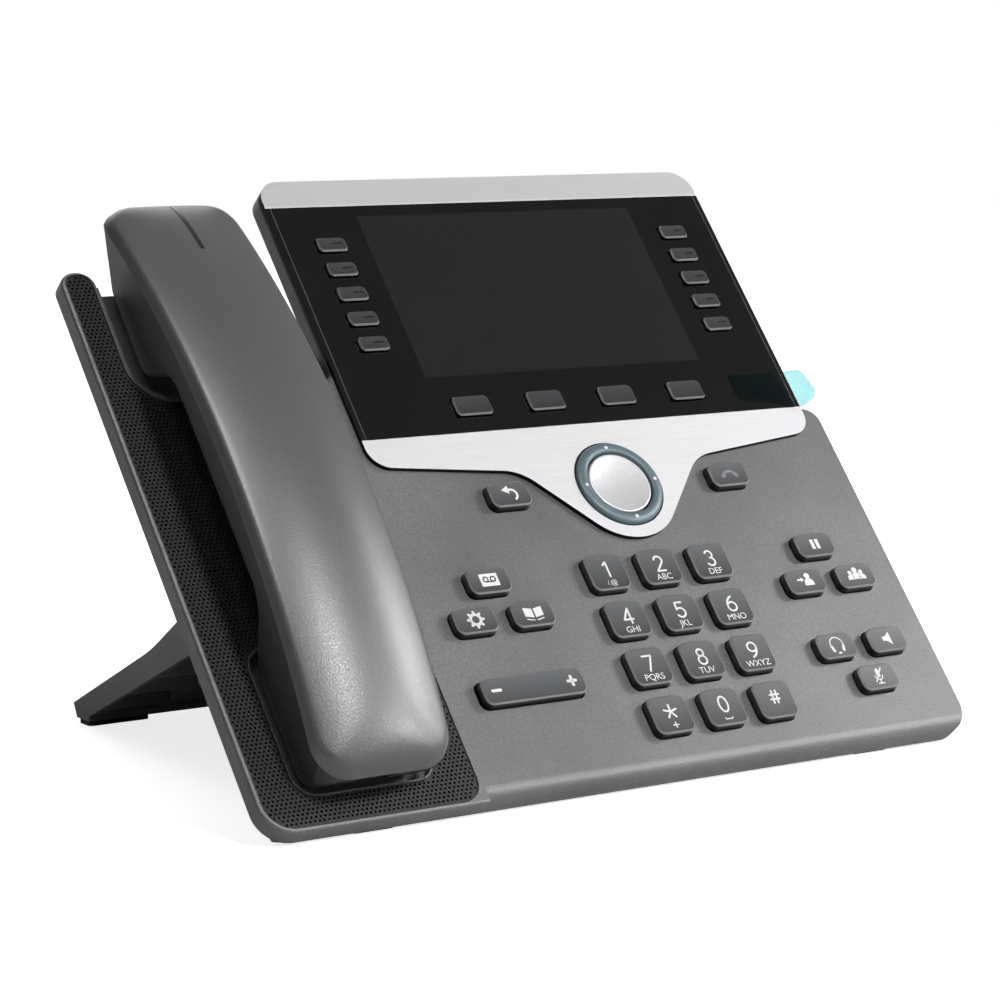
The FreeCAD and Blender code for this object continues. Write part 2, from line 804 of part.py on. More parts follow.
def make_grille():
    body = new_piece("speaker_grille")
    shape = new_sketch(body, "shape", offset="-(grille_sink + grille_panel)")
    grille_outline(shape, "0")
    add(body, "Pad", "panel", shape, "grille_panel")
    holes = new_sketch(body, "hole_field", offset="-grille_sink")
    for across, up in hole_places():
        circle(holes, across, up, "hole_width / 2")
    add(body, "Pocket", "holes", holes, "grille_panel")


def hole_places():
    """Staggered rows of sound holes over the loudspeaker."""
    pitch = value("hole_pitch")
    row_pitch = pitch * math.sqrt(3) / 2
    reach = value("speaker_opening") / 2 - value("hole_width")
    rows = int(reach / row_pitch)
    for row in range(-rows, rows + 1):
        shift = 0.5 * (row % 2)
        half = int(reach / pitch) + 1
        for column in range(-half, half + 1):
            if math.hypot((column + shift) * pitch, row * row_pitch) <= reach:
                across = "cradle_axis + hole_pitch * (%s)" % (column + shift)
                yield across, "speaker_height + hole_pitch * sqrt(3) / 2 * (%d)" % row


def chin_side(sign):
    """Corners down one side of the bezel's chin, from its outer end to the lobe."""
    end = "display_axis %s display_width / 2" % sign
    knee = "display_axis %s chin_knee_offset" % sign
    lobe = "display_axis %s lobe_radius * cos(lobe_angle)" % sign
    return [
        (end, "chin_end_height", "chin_end_corner"),
        (knee, "chin_knee_height", "chin_knee_round"),
        (lobe, "nav_height - lobe_radius * sin(lobe_angle)"),
    ]


def glass_outline(sketch, gap):
    middle = "glass_bottom + glass_height / 2"
    width = "glass_width + 2 * (%s)" % gap
    rectangle(sketch, "display_axis", middle, width, "glass_height + 2 * (%s)" % gap, "glass_corner")


def make_bezel():
    body = new_piece("display_bezel")
    shape = new_sketch(body, "shape")
    outline(shape, [(DISPLAY_LEFT, "display_top", "display_corner")]
            + chin_side("-")
            + [("via", "display_axis", "nav_height - lobe_radius")]
            + chin_side("+")[::-1]
            + [(DISPLAY_RIGHT, "display_top", "display_corner")])
    add(body, "Pad", "plate", shape, "bezel_depth")
    seat = new_sketch(body, "glass_seat_shape", offset="bezel_depth")
    glass_outline(seat, "glass_gap")
    add(body, "Pocket", "glass_seat", seat, "glass_depth")
    grid_openings(body, LINE_GRID, "bezel_depth")
    grid_openings(body, SOFT_GRID, "bezel_depth")
    window = new_sketch(body, "window_shape", offset="bezel_depth")
    rectangle(window, "display_axis", "screen_bottom + screen_height / 2", "screen_width", "screen_height")
    circle(window, "display_axis", "nav_height", "nav_ring_radius + nav_ring_gap")
    add(body, "Pocket", "windows", window, "bezel_depth")


def make_glass():
    body = new_piece("display_glass")
    shape = new_sketch(body, "shape", offset="bezel_depth - glass_depth")
    glass_outline(shape, "0")
    add(body, "Pad", "pane", shape, "glass_depth")
    grid_openings(body, LINE_GRID, "bezel_depth")
    grid_openings(body, SOFT_GRID, "bezel_depth")


def make_lcd():
    body = new_piece("lcd_panel")
    shape = new_sketch(body, "shape", offset="-lcd_depth")
    lcd_outline(shape, "0")
    add(body, "Pad", "panel", shape, "lcd_depth")


def make_film():
    """Film on the glass corner, its free tab lifting off past the edge."""
    body = new_piece("screen_film_tab")
    profile = new_sketch(body, "profile", "XZ", offset="-(film_bottom - film_droop)")
    outline(profile, [
        ("film_left", "bezel_depth"),
        (DISPLAY_RIGHT, "bezel_depth"),
        ("film_reach", "bezel_depth + film_lift"),
        ("film_reach", "bezel_depth + film_lift + film_depth"),
        (DISPLAY_RIGHT + " - film_depth", "bezel_depth + film_depth"),
        ("film_left", "bezel_depth + film_depth"),
    ])
    add(body, "Pad", "strip", profile, "film_top - film_bottom + film_droop", flip=True)
    edge = [
        ("film_left", "film_bottom"),
        ("film_fold - film_droop", "film_bottom"),
        ("film_fold", "film_bottom - film_droop + film_depth"),
        ("film_reach - film_droop / 2", "film_bottom + film_depth", "film_corner"),
        ("film_reach", "film_bottom + film_droop", "film_corner"),
        ("film_reach - film_droop / 2", "film_top - film_droop / 2", "film_corner"),
        (DISPLAY_RIGHT, "film_top"),
        ("film_left", "film_top"),
    ]
    trim_to(body, "tab_shape", edge, "film_left", "film_bottom", "2 * display_width")


def trim_to(body, name, edge, across, up, size):
    """Cut away all that lies outside an outline seen from the front."""
    plan = new_sketch(body, name, offset="2 * crease_height")
    rectangle(plan, across, up, size, size)
    outline(plan, edge)
    return add(body, "Pocket", name + "_trim", plan, "4 * crease_height")


# Inside the housings

REAR_FACE = "-slab_depth"
BOARD_BACK = "-(slab_depth + board_depth)"
PORT_FRONT = "(port_bay_top + rear_wall + port_gap)"


def make_mat():
    body = new_piece("keypad_mat")
    shape = new_sketch(body, "shape", offset=REAR_FACE)
    left = "grille_right + side_wall + lcd_gap"
    right = BODY_RIGHT + " - side_wall - lcd_gap"
    outline(shape, [
        (left, "side_wall + lcd_gap"),
        (right, "side_wall + lcd_gap"),
        (right, "keypad_top - side_wall - lcd_gap"),
        (DISPLAY_RIGHT + " - side_wall - lcd_gap", "keypad_top - side_wall - lcd_gap"),
        (DISPLAY_RIGHT + " - side_wall - lcd_gap", "display_top - side_wall - lcd_gap"),
        (DISPLAY_LEFT + " + side_wall + lcd_gap", "display_top - side_wall - lcd_gap"),
        (DISPLAY_LEFT + " + side_wall + lcd_gap", "keypad_top - side_wall - lcd_gap"),
        (left, "keypad_top - side_wall - lcd_gap"),
    ])
    lcd_outline(shape, "lcd_gap")
    add(body, "Pad", "sheet", shape, "slab_depth + (%s) - key_travel - mat_gap" % KEY_BASE)


def port_places():
    """Place across, socket width and kind of each port, from left to right."""
    kinds = ["inlet", "wide", "wide", "wide", "narrow", "narrow"]
    for number, kind in enumerate(kinds):
        yield "port_pitch * (%s)" % (number - 2.5), kind


def socket_width(kind):
    return "narrow_socket" if kind == "narrow" else "wide_socket"


def port_middle():
    return "-(rear_depth - rear_wall - port_gap - socket_wall - socket_height / 2)"


def make_board():
    """Main board with its row of sockets, which open downwards into the port bay."""
    body = new_piece("main_board")
    shape = new_sketch(body, "shape", offset=BOARD_BACK)
    outline(shape, [
        ("board_left", "board_bottom"),
        ("board_right", "board_bottom"),
        ("board_right", "board_top"),
        ("board_left", "board_top"),
    ])
    add(body, "Pad", "panel", shape, "board_depth")
    depth = "socket_height / 2 + socket_wall"
    for across, kind in port_places():
        shell = new_sketch(body, "port_shell", offset=BOARD_BACK)
        width = socket_width(kind) + " + 2 * socket_wall"
        rectangle(shell, across, PORT_FRONT + " + port_depth / 2", width, "port_depth")
        reach = "%s - (%s - (%s))" % (BOARD_BACK, port_middle(), depth)
        add(body, "Pad", "port_block", shell, reach, flip=True)
    for across, kind in port_places():
        mouth = new_sketch(body, "socket_mouth", "XZ", offset="-" + PORT_FRONT)
        if kind == "inlet":
            circle(mouth, across, port_middle(), "inlet_radius")
            circle(mouth, across, port_middle(), "inlet_pin_radius")
        else:
            rectangle(mouth, across, port_middle(), socket_width(kind), "socket_height")
        add(body, "Pocket", "socket", mouth, "port_drop", flip=False)


def make_loudspeaker():
    body = new_piece("loudspeaker")
    front = "-(face_wall + grille_panel)"
    rim = new_sketch(body, "rim_shape", offset=front)
    circle(rim, "cradle_axis", "speaker_height", "speaker_width / 2")
    add(body, "Pad", "rim", rim, "speaker_depth / 4", flip=True)
    magnet = new_sketch(body, "magnet_shape", offset=front + " - speaker_depth / 4")
    circle(magnet, "cradle_axis", "speaker_height", "speaker_width / 3")
    add(body, "Pad", "magnet", magnet, "speaker_depth * 3 / 4", flip=True)
    cone = new_sketch(body, "cone_shape", offset=front)
    circle(cone, "cradle_axis", "speaker_height", "speaker_opening / 2 - socket_wall")
    add(body, "Pocket", "cone", cone, "speaker_depth / 8")


def make_hook_plunger():
    """Hook switch plunger, drawn pressed down by the handset's ear cup."""
    body = new_piece("hook_plunger")
    top = "-ear_recess_depth"
    lip_top = "-(slab_depth + hook_travel + flange_gap)"
    stem = new_sketch(body, "stem_shape", offset=top)
    circle(stem, "cradle_axis", "hook_height", "hook_radius")
    add(body, "Pad", "stem", stem, "%s - (%s) + flange_depth" % (top, lip_top), flip=True)
    lip = new_sketch(body, "lip_shape", offset=lip_top)
    circle(lip, "cradle_axis", "hook_height", "hook_radius + hook_lip")
    add(body, "Pad", "lip", lip, "flange_depth", flip=True)


# Rear housing

def rear_profile(sketch, wall):
    """Side view of the back: a foot flat on the desk, a long back and a sloped top."""
    back = "-(rear_depth - (%s))" % wall
    run = "(rear_depth - slab_depth - (%s)) / tan(face_tilt)" % wall
    toe = "(%s) / sin(face_tilt)" % wall
    outline(sketch, [
        (toe, REAR_FACE),
        ("%s + %s" % (toe, run), back),
        ("rear_top - rear_top_slope - (%s)" % wall, back),
        ("rear_top - (%s)" % wall, REAR_FACE),
    ])


def make_rear_housing():
    body = new_piece("rear_housing")
    side = new_sketch(body, "side_view", "YZ")
    rear_profile(side, "0")
    half = "body_width / 2 - rear_inset"
    add(body, "Pad", "block", side, "2 * (%s)" % half, both=True)
    trim_to(body, "corners", [
        ("-(%s)" % half, "0", "bottom_corner"),
        (half, "0", "bottom_corner"),
        (half, "rear_top"),
        ("-(%s)" % half, "rear_top"),
    ], "0", "0", "4 * rear_top")
    cover = new_sketch(body, "display_cover_shape", offset=REAR_FACE)
    rectangle(cover, "display_axis", "(display_top - rear_inset + neck_top) / 2",
              "display_width - 2 * rear_inset", "display_top - rear_inset - neck_top",
              "display_corner - rear_inset")
    add(body, "Pad", "display_cover", cover, "rear_cover", flip=True)
    hook_box = new_sketch(body, "hook_box_shape", offset=REAR_FACE)
    rectangle(hook_box, "cradle_axis", "(tray_top + neck_top) / 2 - tray_wall",
              "ear_recess_width - 2 * tray_wall", "tray_top - neck_top", "tray_wall")
    add(body, "Pad", "hook_box", hook_box, "hook_box_depth - slab_depth", flip=True)
    for sign in ("-", "+"):
        wedge = new_sketch(body, "side_slope_shape", "XZ")
        beyond = "%s(%s + rear_depth)" % (sign, half)
        inward = "%s(%s - (2 * rear_depth - slab_depth) * tan(rear_side_slope))" % (sign, half)
        outline(wedge, [
            ("%s(%s)" % (sign, half), REAR_FACE),
            (beyond, REAR_FACE),
            (beyond, "-2 * rear_depth"),
            (inward, "-2 * rear_depth"),
        ])
        add(body, "Pocket", "side_slope", wedge, "2 * display_top", both=True)
    deep = new_sketch(body, "hollow_shape", "YZ")
    rear_profile(deep, "rear_wall")
    deep_half = "%s - (rear_depth - slab_depth) * tan(rear_side_slope) - rear_wall" % half
    add(body, "Pocket", "hollow", deep, "2 * (%s)" % deep_half, both=True)
    step = new_sketch(body, "step_shape", offset=REAR_FACE)
    step_half = "%s - (rear_step_depth - slab_depth) * tan(rear_side_slope) - rear_wall" % half
    rectangle(step, "0", "speaker_height", "2 * (%s)" % step_half, "speaker_width + 2 * rear_wall")
    add(body, "Pocket", "step", step, "rear_step_depth - slab_depth")
    well = new_sketch(body, "hook_well_shape", offset=REAR_FACE)
    circle(well, "cradle_axis", "hook_height", "hook_radius + hook_lip + lcd_gap")
    add(body, "Pocket", "hook_well", well, "hook_box_depth - slab_depth - rear_wall")
    make_port_bay(body)
    make_board_posts(body)
    make_stand_lugs(body)


def make_port_bay(body):
    """A walled bay in the back whose upper wall has the ports."""
    tall = "port_bay_top - port_bay_bottom"
    middle = "(port_bay_top + port_bay_bottom) / 2"
    box = new_sketch(body, "bay_wall_shape", offset="-(port_bay_floor - rear_wall)")
    rectangle(box, "0", middle, "2 * (port_bay_half + rear_wall)", tall + " + 2 * rear_wall")
    add(body, "Pad", "bay_wall", box, "rear_depth - port_bay_floor + rear_wall", flip=True)
    bay = new_sketch(body, "bay_shape", offset="-port_bay_floor")
    rectangle(bay, "0", middle, "2 * port_bay_half", tall)
    add(body, "Pocket", "bay", bay, "rear_depth")
    doors = new_sketch(body, "port_openings_shape", "XZ", offset="-port_bay_top")
    for across, kind in port_places():
        width = "%s + 2 * port_gap" % socket_width(kind)
        rectangle(doors, across, port_middle(), width, "socket_height + 2 * port_gap")
    add(body, "Pocket", "port_openings", doors, "rear_wall", flip=False)


def make_board_posts(body):
    """Posts that carry the main board off the back wall."""
    posts = new_sketch(body, "post_shape", offset=BOARD_BACK)
    inset = "board_post_radius + port_gap"
    for across in ("board_left + " + inset, "board_right - (%s)" % inset):
        circle(posts, across, "board_top - (%s)" % inset, "board_post_radius")
        circle(posts, across, "board_bottom + (%s)" % inset, "board_post_radius")
    add(body, "Pad", "posts", posts, "rear_depth - rear_wall / 2 - slab_depth - board_depth", flip=True)


STAND_AXIS_DROP = "-(rear_depth + stand_barrel + stand_clearance)"


def make_stand_lugs(body):
    """Two lugs with bores that hold the stand's hinge pins."""
    for sign in ("-", "+"):
        lug = new_sketch(body, "lug_shape", "YZ", offset="%sstand_lug_offset" % sign)
        tip = STAND_AXIS_DROP + " - stand_lug_radius"
        root = "-(rear_depth - rear_wall / 2)"
        outline(lug, [
            ("stand_height - stand_lug_radius", root),
            ("stand_height - stand_lug_radius", tip, "stand_lug_radius - rear_wall / 4"),
            ("stand_height + stand_lug_radius", tip, "stand_lug_radius - rear_wall / 4"),
            ("stand_height + stand_lug_radius", root),
        ])
        circle(lug, "stand_height", STAND_AXIS_DROP, "stand_pin_radius + stand_pin_gap")
        add(body, "Pad", "lug", lug, "stand_lug_width", both=True)


# Foot stand

# The hinge axis seen from the side, measured back and up from the rear housing's toe
STAND_BACK = "(stand_height * cos(face_tilt) - (%s + slab_depth) * sin(face_tilt))" % STAND_AXIS_DROP
STAND_UP = "(stand_height * sin(face_tilt) + (%s + slab_depth) * cos(face_tilt))" % STAND_AXIS_DROP
KNEE_ANGLE = "atan((%s - stand_knee_height) / (stand_knee - %s))" % (STAND_UP, STAND_BACK)
KNEE_SPAN = "hypot(%s - stand_knee_height; stand_knee - %s)" % (STAND_UP, STAND_BACK)
UPPER_ANGLE = "(%s + asin(stand_barrel / %s))" % (KNEE_ANGLE, KNEE_SPAN)


def upper_surface(back):
    """Height of the stand's upper face at a place behind its knee or before it."""
    if value(back) < value("stand_knee"):
        return "stand_knee_height + (stand_knee - (%s)) * tan(%s)" % (back, UPPER_ANGLE)
    slope = "(stand_knee_height - stand_tip_height) / (stand_reach - stand_knee)"
    return "stand_knee_height - ((%s) - stand_knee) * %s" % (back, slope)


def lower_surface(back):
    touch_back = "%s - stand_barrel * sin(stand_lower_angle)" % STAND_BACK
    touch_up = "%s - stand_barrel * cos(stand_lower_angle)" % STAND_UP
    return "%s - (%s - (%s)) * tan(stand_lower_angle)" % (touch_up, back, touch_back)


def make_foot_stand():
    body = new_piece("foot_stand", upright=True)
    side = new_sketch(body, "side_view", "YZ")
    outline(side, [
        ("%s + stand_barrel * sin(%s)" % (STAND_BACK, UPPER_ANGLE),
         "%s + stand_barrel * cos(%s)" % (STAND_UP, UPPER_ANGLE)),
        ("stand_knee", "stand_knee_height", "stand_knee_round"),
        ("stand_reach", "stand_tip_height"),
        ("stand_reach - stand_skin", "stand_heel_height"),
        ("stand_heel", "stand_heel_height"),
        ("stand_heel", lower_surface("stand_heel")),
        ("%s - stand_barrel * sin(stand_lower_angle)" % STAND_BACK,
         "%s - stand_barrel * cos(stand_lower_angle)" % STAND_UP),
        ("via", STAND_BACK + " - stand_barrel", STAND_UP),
    ])
    add(body, "Pad", "plate", side, "2 * stand_half", both=True)
    bays = new_sketch(body, "bay_shape", "YZ", offset="stand_skin - stand_half")
    spans = [
        ("stand_bay_front", "stand_knee - stand_rib / 2"),
        ("stand_knee + stand_rib / 2", "(stand_knee + stand_bay_back - stand_rib) / 2"),
        ("(stand_knee + stand_bay_back + stand_rib) / 2", "stand_bay_back"),
    ]
    for front, back in spans:
        outline(bays, [
            (front, lower_surface(front) + " - stand_skin"),
            (back, lower_surface(back) + " - stand_skin"),
            (back, upper_surface(back) + " - stand_skin"),
            (front, upper_surface(front) + " - stand_skin"),
        ])
    pocket = add(body, "Pocket", "bays", bays, "stand_bay_width", flip=True)
    rows = body.newObject("PartDesign::LinearPattern", "bay_row")
    rows.Originals = [pocket]
    rows.Direction = (origin_part(body, "X_Axis"), [""])
    rows.Mode = "Spacing"
    count = int(value("(2 * stand_half - 2 * stand_skin + stand_rib) / (stand_bay_width + stand_rib)"))
    rows.Occurrences = count
    bind(rows, "Offset", "(2 * stand_half - 2 * stand_skin - stand_bay_width) / %d" % (count - 1))
    body.Tip = rows
    doc.recompute()
    for sign in ("-", "+"):
        waist = new_sketch(body, "pin_shape", "XZ", offset="-(%s)" % STAND_BACK, rise=STAND_UP)
        reach = "2 * stand_barrel"
        width = "stand_lug_width + 2 * stand_lug_gap"
        rectangle(waist, "%sstand_lug_offset" % sign, "(stand_pin_radius + %s) / 2" % reach, width,
                  "%s - stand_pin_radius" % reach)
        turn(body, "Groove", "pin", waist, "360", both=False)


def make_pads(name, middle, front, size, low, high):
    """A pair of equal rubber pads, one at each side."""
    body = new_piece(name, upright=True)
    shape = new_sketch(body, "shape", offset=low)
    width, depth = size
    for sign in ("-", "+"):
        rectangle(shape, "%s(%s)" % (sign, middle), "%s + %s / 2" % (front, depth), width, depth,
                  "small_corner")
    add(body, "Pad", "pads", shape, "%s - (%s)" % (high, low))


def make_feet():
    make_pads("stand_pads", "stand_half - pad_length / 2", "stand_heel", ("pad_length", "pad_depth"),
              "-base_foot_rise", "stand_heel_height")
    make_pads("base_feet", "base_foot_offset", "base_foot_front", ("base_foot_length", "base_foot_depth"),
              "-base_foot_rise", "0")


# Handset

HANDSET_BOTTOM = "handset_middle - handset_length / 2"
HANDSET_TOP = "handset_middle + handset_length / 2"
AXIS_DROP = "(crease_height - crease_radius)"
HALF_SPAN = "asin((handset_length / 2 + end_round) / crease_radius)"


def crease(up):
    """Height of the parting line between the handset's shells."""
    return "%s + sqrt(crease_radius ^ 2 - (%s - crease_middle) ^ 2)" % (AXIS_DROP, up)


def section_sketch(body, name):
    """A sketch across the handset whose horizontal axis is the centre of its bow."""
    return new_sketch(body, name, "XZ", offset="-crease_middle", rise=AXIS_DROP)


def crown_section(sketch, wall):
    """Section of the outer shell: near upright sides under a low crown."""
    half = "handset_width / 2 - (%s)" % wall
    low = "crease_radius"
    shoulder = "crease_radius + band_height"
    top = "crease_radius + crown_height - (%s)" % wall
    outline(sketch, [
        ("cradle_axis - (%s)" % half, low),
        ("cradle_axis + (%s)" % half, low),
        ("cradle_axis + (%s - band_lean)" % half, shoulder + " - (%s) / 2" % wall),
        ("via", "cradle_axis", top),
        ("cradle_axis - (%s - band_lean)" % half, shoulder + " - (%s) / 2" % wall),
    ])


def round_ends(body):
    """Bring the crown down to the parting line over both ends."""
    for sign, end in (("-", HANDSET_BOTTOM), ("+", HANDSET_TOP)):
        cut = new_sketch(body, "end_round_shape", "YZ", offset="cradle_axis")
        inward = "-" if sign == "+" else "+"
        foot = crease(end) + " + band_height / 4"
        far = "%s %s end_round * 2" % (end, sign)
        start = "%s %s end_round" % (end, inward)
        lean = "%s %s end_round * 0.2" % (end, inward)
        outline(cut, [
            (end, foot),
            ("via", lean, foot + " + end_round * 0.33"),
            (start, crease(start) + " + crown_height"),
            (start, crease(start) + " + crown_height * 2"),
            (far, crease(start) + " + crown_height * 2"),
            (far, foot),
        ])
        add(body, "Pocket", "end_round", cut, "2 * handset_width", both=True)


def trim_handset(body, step):
    """Give the handset its rounded oblong outline, seen from the front."""
    left = "cradle_axis - handset_width / 2 + (%s)" % step
    right = "cradle_axis + handset_width / 2 - (%s)" % step
    low = HANDSET_BOTTOM + " + (%s)" % step
    high = HANDSET_TOP + " - (%s)" % step
    edge = [
        (left, low, "handset_corner"),
        (right, low, "handset_corner"),
        (right, high, "handset_corner"),
        (left, high, "handset_corner"),
    ]
    return trim_to(body, "outline", edge, "cradle_axis", "handset_middle", "2 * handset_length")


def make_outer_shell():
    body = new_piece("handset_outer_shell")
    section = section_sketch(body, "section")
    crown_section(section, "0")
    bow = turn(body, "Revolution", "bow", section, "2 * %s" % HALF_SPAN)
    soften(body, "soft_shoulder", bow, is_shoulder, "crown_soft")
    trim_handset(body, "0")
    round_ends(body)
    hollow = section_sketch(body, "hollow_section")
    crown_section(hollow, "shell_wall")
    turn(body, "Groove", "hollow", hollow, "2 * asin((handset_length / 2 - end_round) / crease_radius)")
    slot = new_sketch(body, "light_slot", offset="2 * crease_height")
    rectangle(slot, "cradle_axis", "light_start + handset_length / 2", "light_width + 2 * light_gap",
              "handset_length + 2 * light_gap")
    add(body, "Pocket", "light_opening", slot, "2 * crease_height - (%s)" % crease(HANDSET_TOP))
    notch = new_sketch(body, "cord_notch_shape", "XZ", offset="-(%s)" % HANDSET_BOTTOM)
    rectangle(notch, "cradle_axis", crease(HANDSET_BOTTOM), "narrow_socket", "2 * notch_height")
    add(body, "Pocket", "cord_notch", notch, "notch_depth")


def is_shoulder(edge):
    """A long edge where the outer shell's sides meet its crown."""
    reach = abs(edge.CenterOfMass.x - value("cradle_axis"))
    long = edge.Length > value("handset_length")
    return long and abs(reach - value("handset_width / 2 - band_lean")) < 1e-3


def make_inner_shell():
    body = new_piece("handset_inner_shell")
    side = new_sketch(body, "side_view", "YZ", offset="cradle_axis")
    bottom = HANDSET_BOTTOM + " + inner_step"
    top = HANDSET_TOP + " - inner_step"
    ear_floor = "rest_gap - ear_recess_depth"
    mouth_floor = "rest_gap - mouth_recess_depth"
    outline(side, [
        (bottom, crease(bottom)),
        ("via", "crease_middle", "crease_height"),
        (top, crease(top)),
        ("ear_cup_top", ear_floor, "cup_round"),
        ("ear_cup_bottom", ear_floor, "cup_round"),
        ("grip_top", "grip_underside", "grip_round"),
        ("grip_bottom", "grip_underside", "grip_round"),
        ("mouth_cup_top", mouth_floor, "cup_round"),
        ("mouth_cup_bottom", mouth_floor, "cup_round"),
    ])
    add(body, "Pad", "bow", side, "handset_width - 2 * inner_step", both=True)
    for sign in ("-", "+"):
        wedge = new_sketch(body, "lean_shape", "XZ")
        half = "(handset_width / 2 - inner_step)"
        outline(wedge, [
            ("cradle_axis %s %s" % (sign, half), "crease_height"),
            ("cradle_axis %s (%s + inner_lean)" % (sign, half), "crease_height"),
            ("cradle_axis %s (%s + inner_lean)" % (sign, half), ear_floor + " - inner_soft"),
            ("cradle_axis %s (%s - inner_lean)" % (sign, half), ear_floor + " - inner_soft"),
        ])
        lean = add(body, "Pocket", "lean", wedge, "3 * handset_length", both=True)
    soften(body, "soft_under", lean, is_under_edge, "inner_soft")
    trim_handset(body, "inner_step")
    for name, up, radius, floor in (
            ("receiver_well", "receiver_height", "receiver_radius", ear_floor),
            ("microphone_well", "microphone_height", "microphone_radius", mouth_floor)):
        well = new_sketch(body, name + "_shape", offset="%s + cup_floor" % floor)
        circle(well, "cradle_axis", up, radius + " + capsule_gap")
        add(body, "Pocket", name, well, "crease_height * 2", flip=True)
    holes = new_sketch(body, "sound_holes_shape", offset=ear_floor + " - cup_floor")
    circle(holes, "cradle_axis", "receiver_height", "sound_hole_radius")
    for number in range(6):
        angle = "%d" % (60 * number)
        circle(holes, "cradle_axis + sound_ring_radius * cos(%s)" % angle,
               "receiver_height + sound_ring_radius * sin(%s)" % angle, "sound_hole_radius")
    circle(holes, "cradle_axis", "microphone_height", "sound_hole_radius")
    add(body, "Pocket", "sound_holes", holes, "3 * cup_floor", flip=True)
    socket = new_sketch(body, "jack_opening_shape", "XZ", offset="-jack_back - jack_gap")
    rectangle(socket, "cradle_axis", "(jack_bottom + jack_top) / 2", "jack_width + 2 * jack_gap",
              "jack_top - jack_bottom + 2 * jack_gap")
    add(body, "Pocket", "jack_opening", socket, "2 * jack_back", flip=True)


def is_under_edge(edge):
    """A long edge where the inner shell's sides meet its cups."""
    box = edge.BoundBox
    floor = value("rest_gap - ear_recess_depth")
    side = abs(edge.CenterOfMass.x - value("cradle_axis")) > value("handset_width / 4")
    return side and lies_at(edge, floor) and box.YLength > value("cup_round")


def make_message_light():
    body = new_piece("message_light")
    section = section_sketch(body, "section")
    middle = "crease_radius + crown_height - light_depth / 2"
    rectangle(section, "cradle_axis", middle, "light_width", "light_depth")
    turn(body, "Revolution", "strip", section, HALF_SPAN, both=False, flip=True)
    round_ends(body)
    trim = new_sketch(body, "start_shape", "YZ", offset="cradle_axis")
    outline(trim, [
        ("0", "0"),
        ("light_start", "0"),
        ("light_start", "crease_height * 3"),
        ("0", "crease_height * 3"),
    ])
    add(body, "Pocket", "start", trim, "2 * handset_width", both=True)


def make_capsule(word, floor):
    body = new_piece(word + "_capsule")
    shape = new_sketch(body, "shape", offset="%s + cup_floor" % floor)
    circle(shape, "cradle_axis", word + "_height", word + "_radius")
    add(body, "Pad", "can", shape, word + "_depth")


def make_handset_jack():
    body = new_piece("handset_jack")
    block = new_sketch(body, "block_shape", "XZ", offset="-jack_back")
    middle = "(jack_bottom + jack_top) / 2"
    rectangle(block, "cradle_axis", middle, "jack_width", "jack_top - jack_bottom")
    add(body, "Pad", "block", block, "jack_back - (%s) - jack_setback" % "mouth_cup_bottom")
    mouth = new_sketch(body, "mouth_shape", "XZ", offset="-(mouth_cup_bottom + jack_setback)")
    rectangle(mouth, "cradle_axis", middle, "narrow_socket", "jack_top - jack_bottom - 2 * socket_wall")
    add(body, "Pocket", "socket", mouth, "jack_back - mouth_cup_bottom - jack_setback - socket_wall")


def make_handset():
    make_outer_shell()
    make_inner_shell()
    make_message_light()
    ear_floor = "rest_gap - ear_recess_depth"
    mouth_floor = "rest_gap - mouth_recess_depth"
    make_capsule("receiver", ear_floor)
    make_capsule("microphone", mouth_floor)
    make_handset_jack()


PAIRED = ("stand_pads", "base_feet")


def check_pieces():
    faults = []
    for item in doc.Objects:
        if "Invalid" in item.State or "Error" in item.State:
            faults.append("%s: %s" % (item.Label, item.State))
    for body in pieces:
        if body.Shape.isNull() or not body.Shape.isValid():
            faults.append("%s: bad shape" % body.Label)
        elif len(body.Shape.Solids) != (2 if body.Label in PAIRED else 1):
            faults.append("%s: %d solids" % (body.Label, len(body.Shape.Solids)))
    if faults:
        raise RuntimeError("; ".join(faults))


def write_pieces():
    os.makedirs("parts", exist_ok=True)
    for body in pieces:
        body.Shape.exportStep("parts/%s.step" % body.Label)


fill_sheet()
make_front_housing()
make_rear_housing()
make_grille()
make_bezel()
make_glass()
make_lcd()
make_film()
make_keys()
make_volume_key()
make_navigation()
make_mat()
make_board()
make_loudspeaker()
make_hook_plunger()
make_handset()
make_foot_stand()
make_feet()
doc.recompute()
check_pieces()
write_pieces()
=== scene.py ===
import json
import math

import bmesh
import bpy
from mathutils import Matrix, Vector
from mathutils.geometry import delaunay_2d_cdt


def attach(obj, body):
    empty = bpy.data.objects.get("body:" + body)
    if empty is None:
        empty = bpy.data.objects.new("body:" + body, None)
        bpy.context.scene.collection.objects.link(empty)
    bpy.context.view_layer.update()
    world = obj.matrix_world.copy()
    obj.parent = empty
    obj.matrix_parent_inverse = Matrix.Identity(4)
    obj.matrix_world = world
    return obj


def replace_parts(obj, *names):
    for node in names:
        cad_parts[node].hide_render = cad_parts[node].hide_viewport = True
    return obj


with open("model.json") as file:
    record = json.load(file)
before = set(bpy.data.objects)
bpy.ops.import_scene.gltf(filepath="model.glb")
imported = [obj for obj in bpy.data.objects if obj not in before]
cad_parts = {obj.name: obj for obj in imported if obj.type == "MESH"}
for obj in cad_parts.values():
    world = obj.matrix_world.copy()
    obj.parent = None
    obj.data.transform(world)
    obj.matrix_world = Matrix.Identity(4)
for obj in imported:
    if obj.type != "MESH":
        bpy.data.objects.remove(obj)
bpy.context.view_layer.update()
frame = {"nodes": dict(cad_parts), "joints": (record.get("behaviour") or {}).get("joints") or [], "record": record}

# Sizes are written in millimetres, and the frame is in metres
MM = 0.001
NODES = frame["nodes"]
RECORD = frame["record"]
SLOT_OF = {part["node"]: part["material_slot"] for part in RECORD["subparts"]}
BODY_OF = {node: body for body, nodes in RECORD["behaviour"]["bodies"].items() for node in nodes}
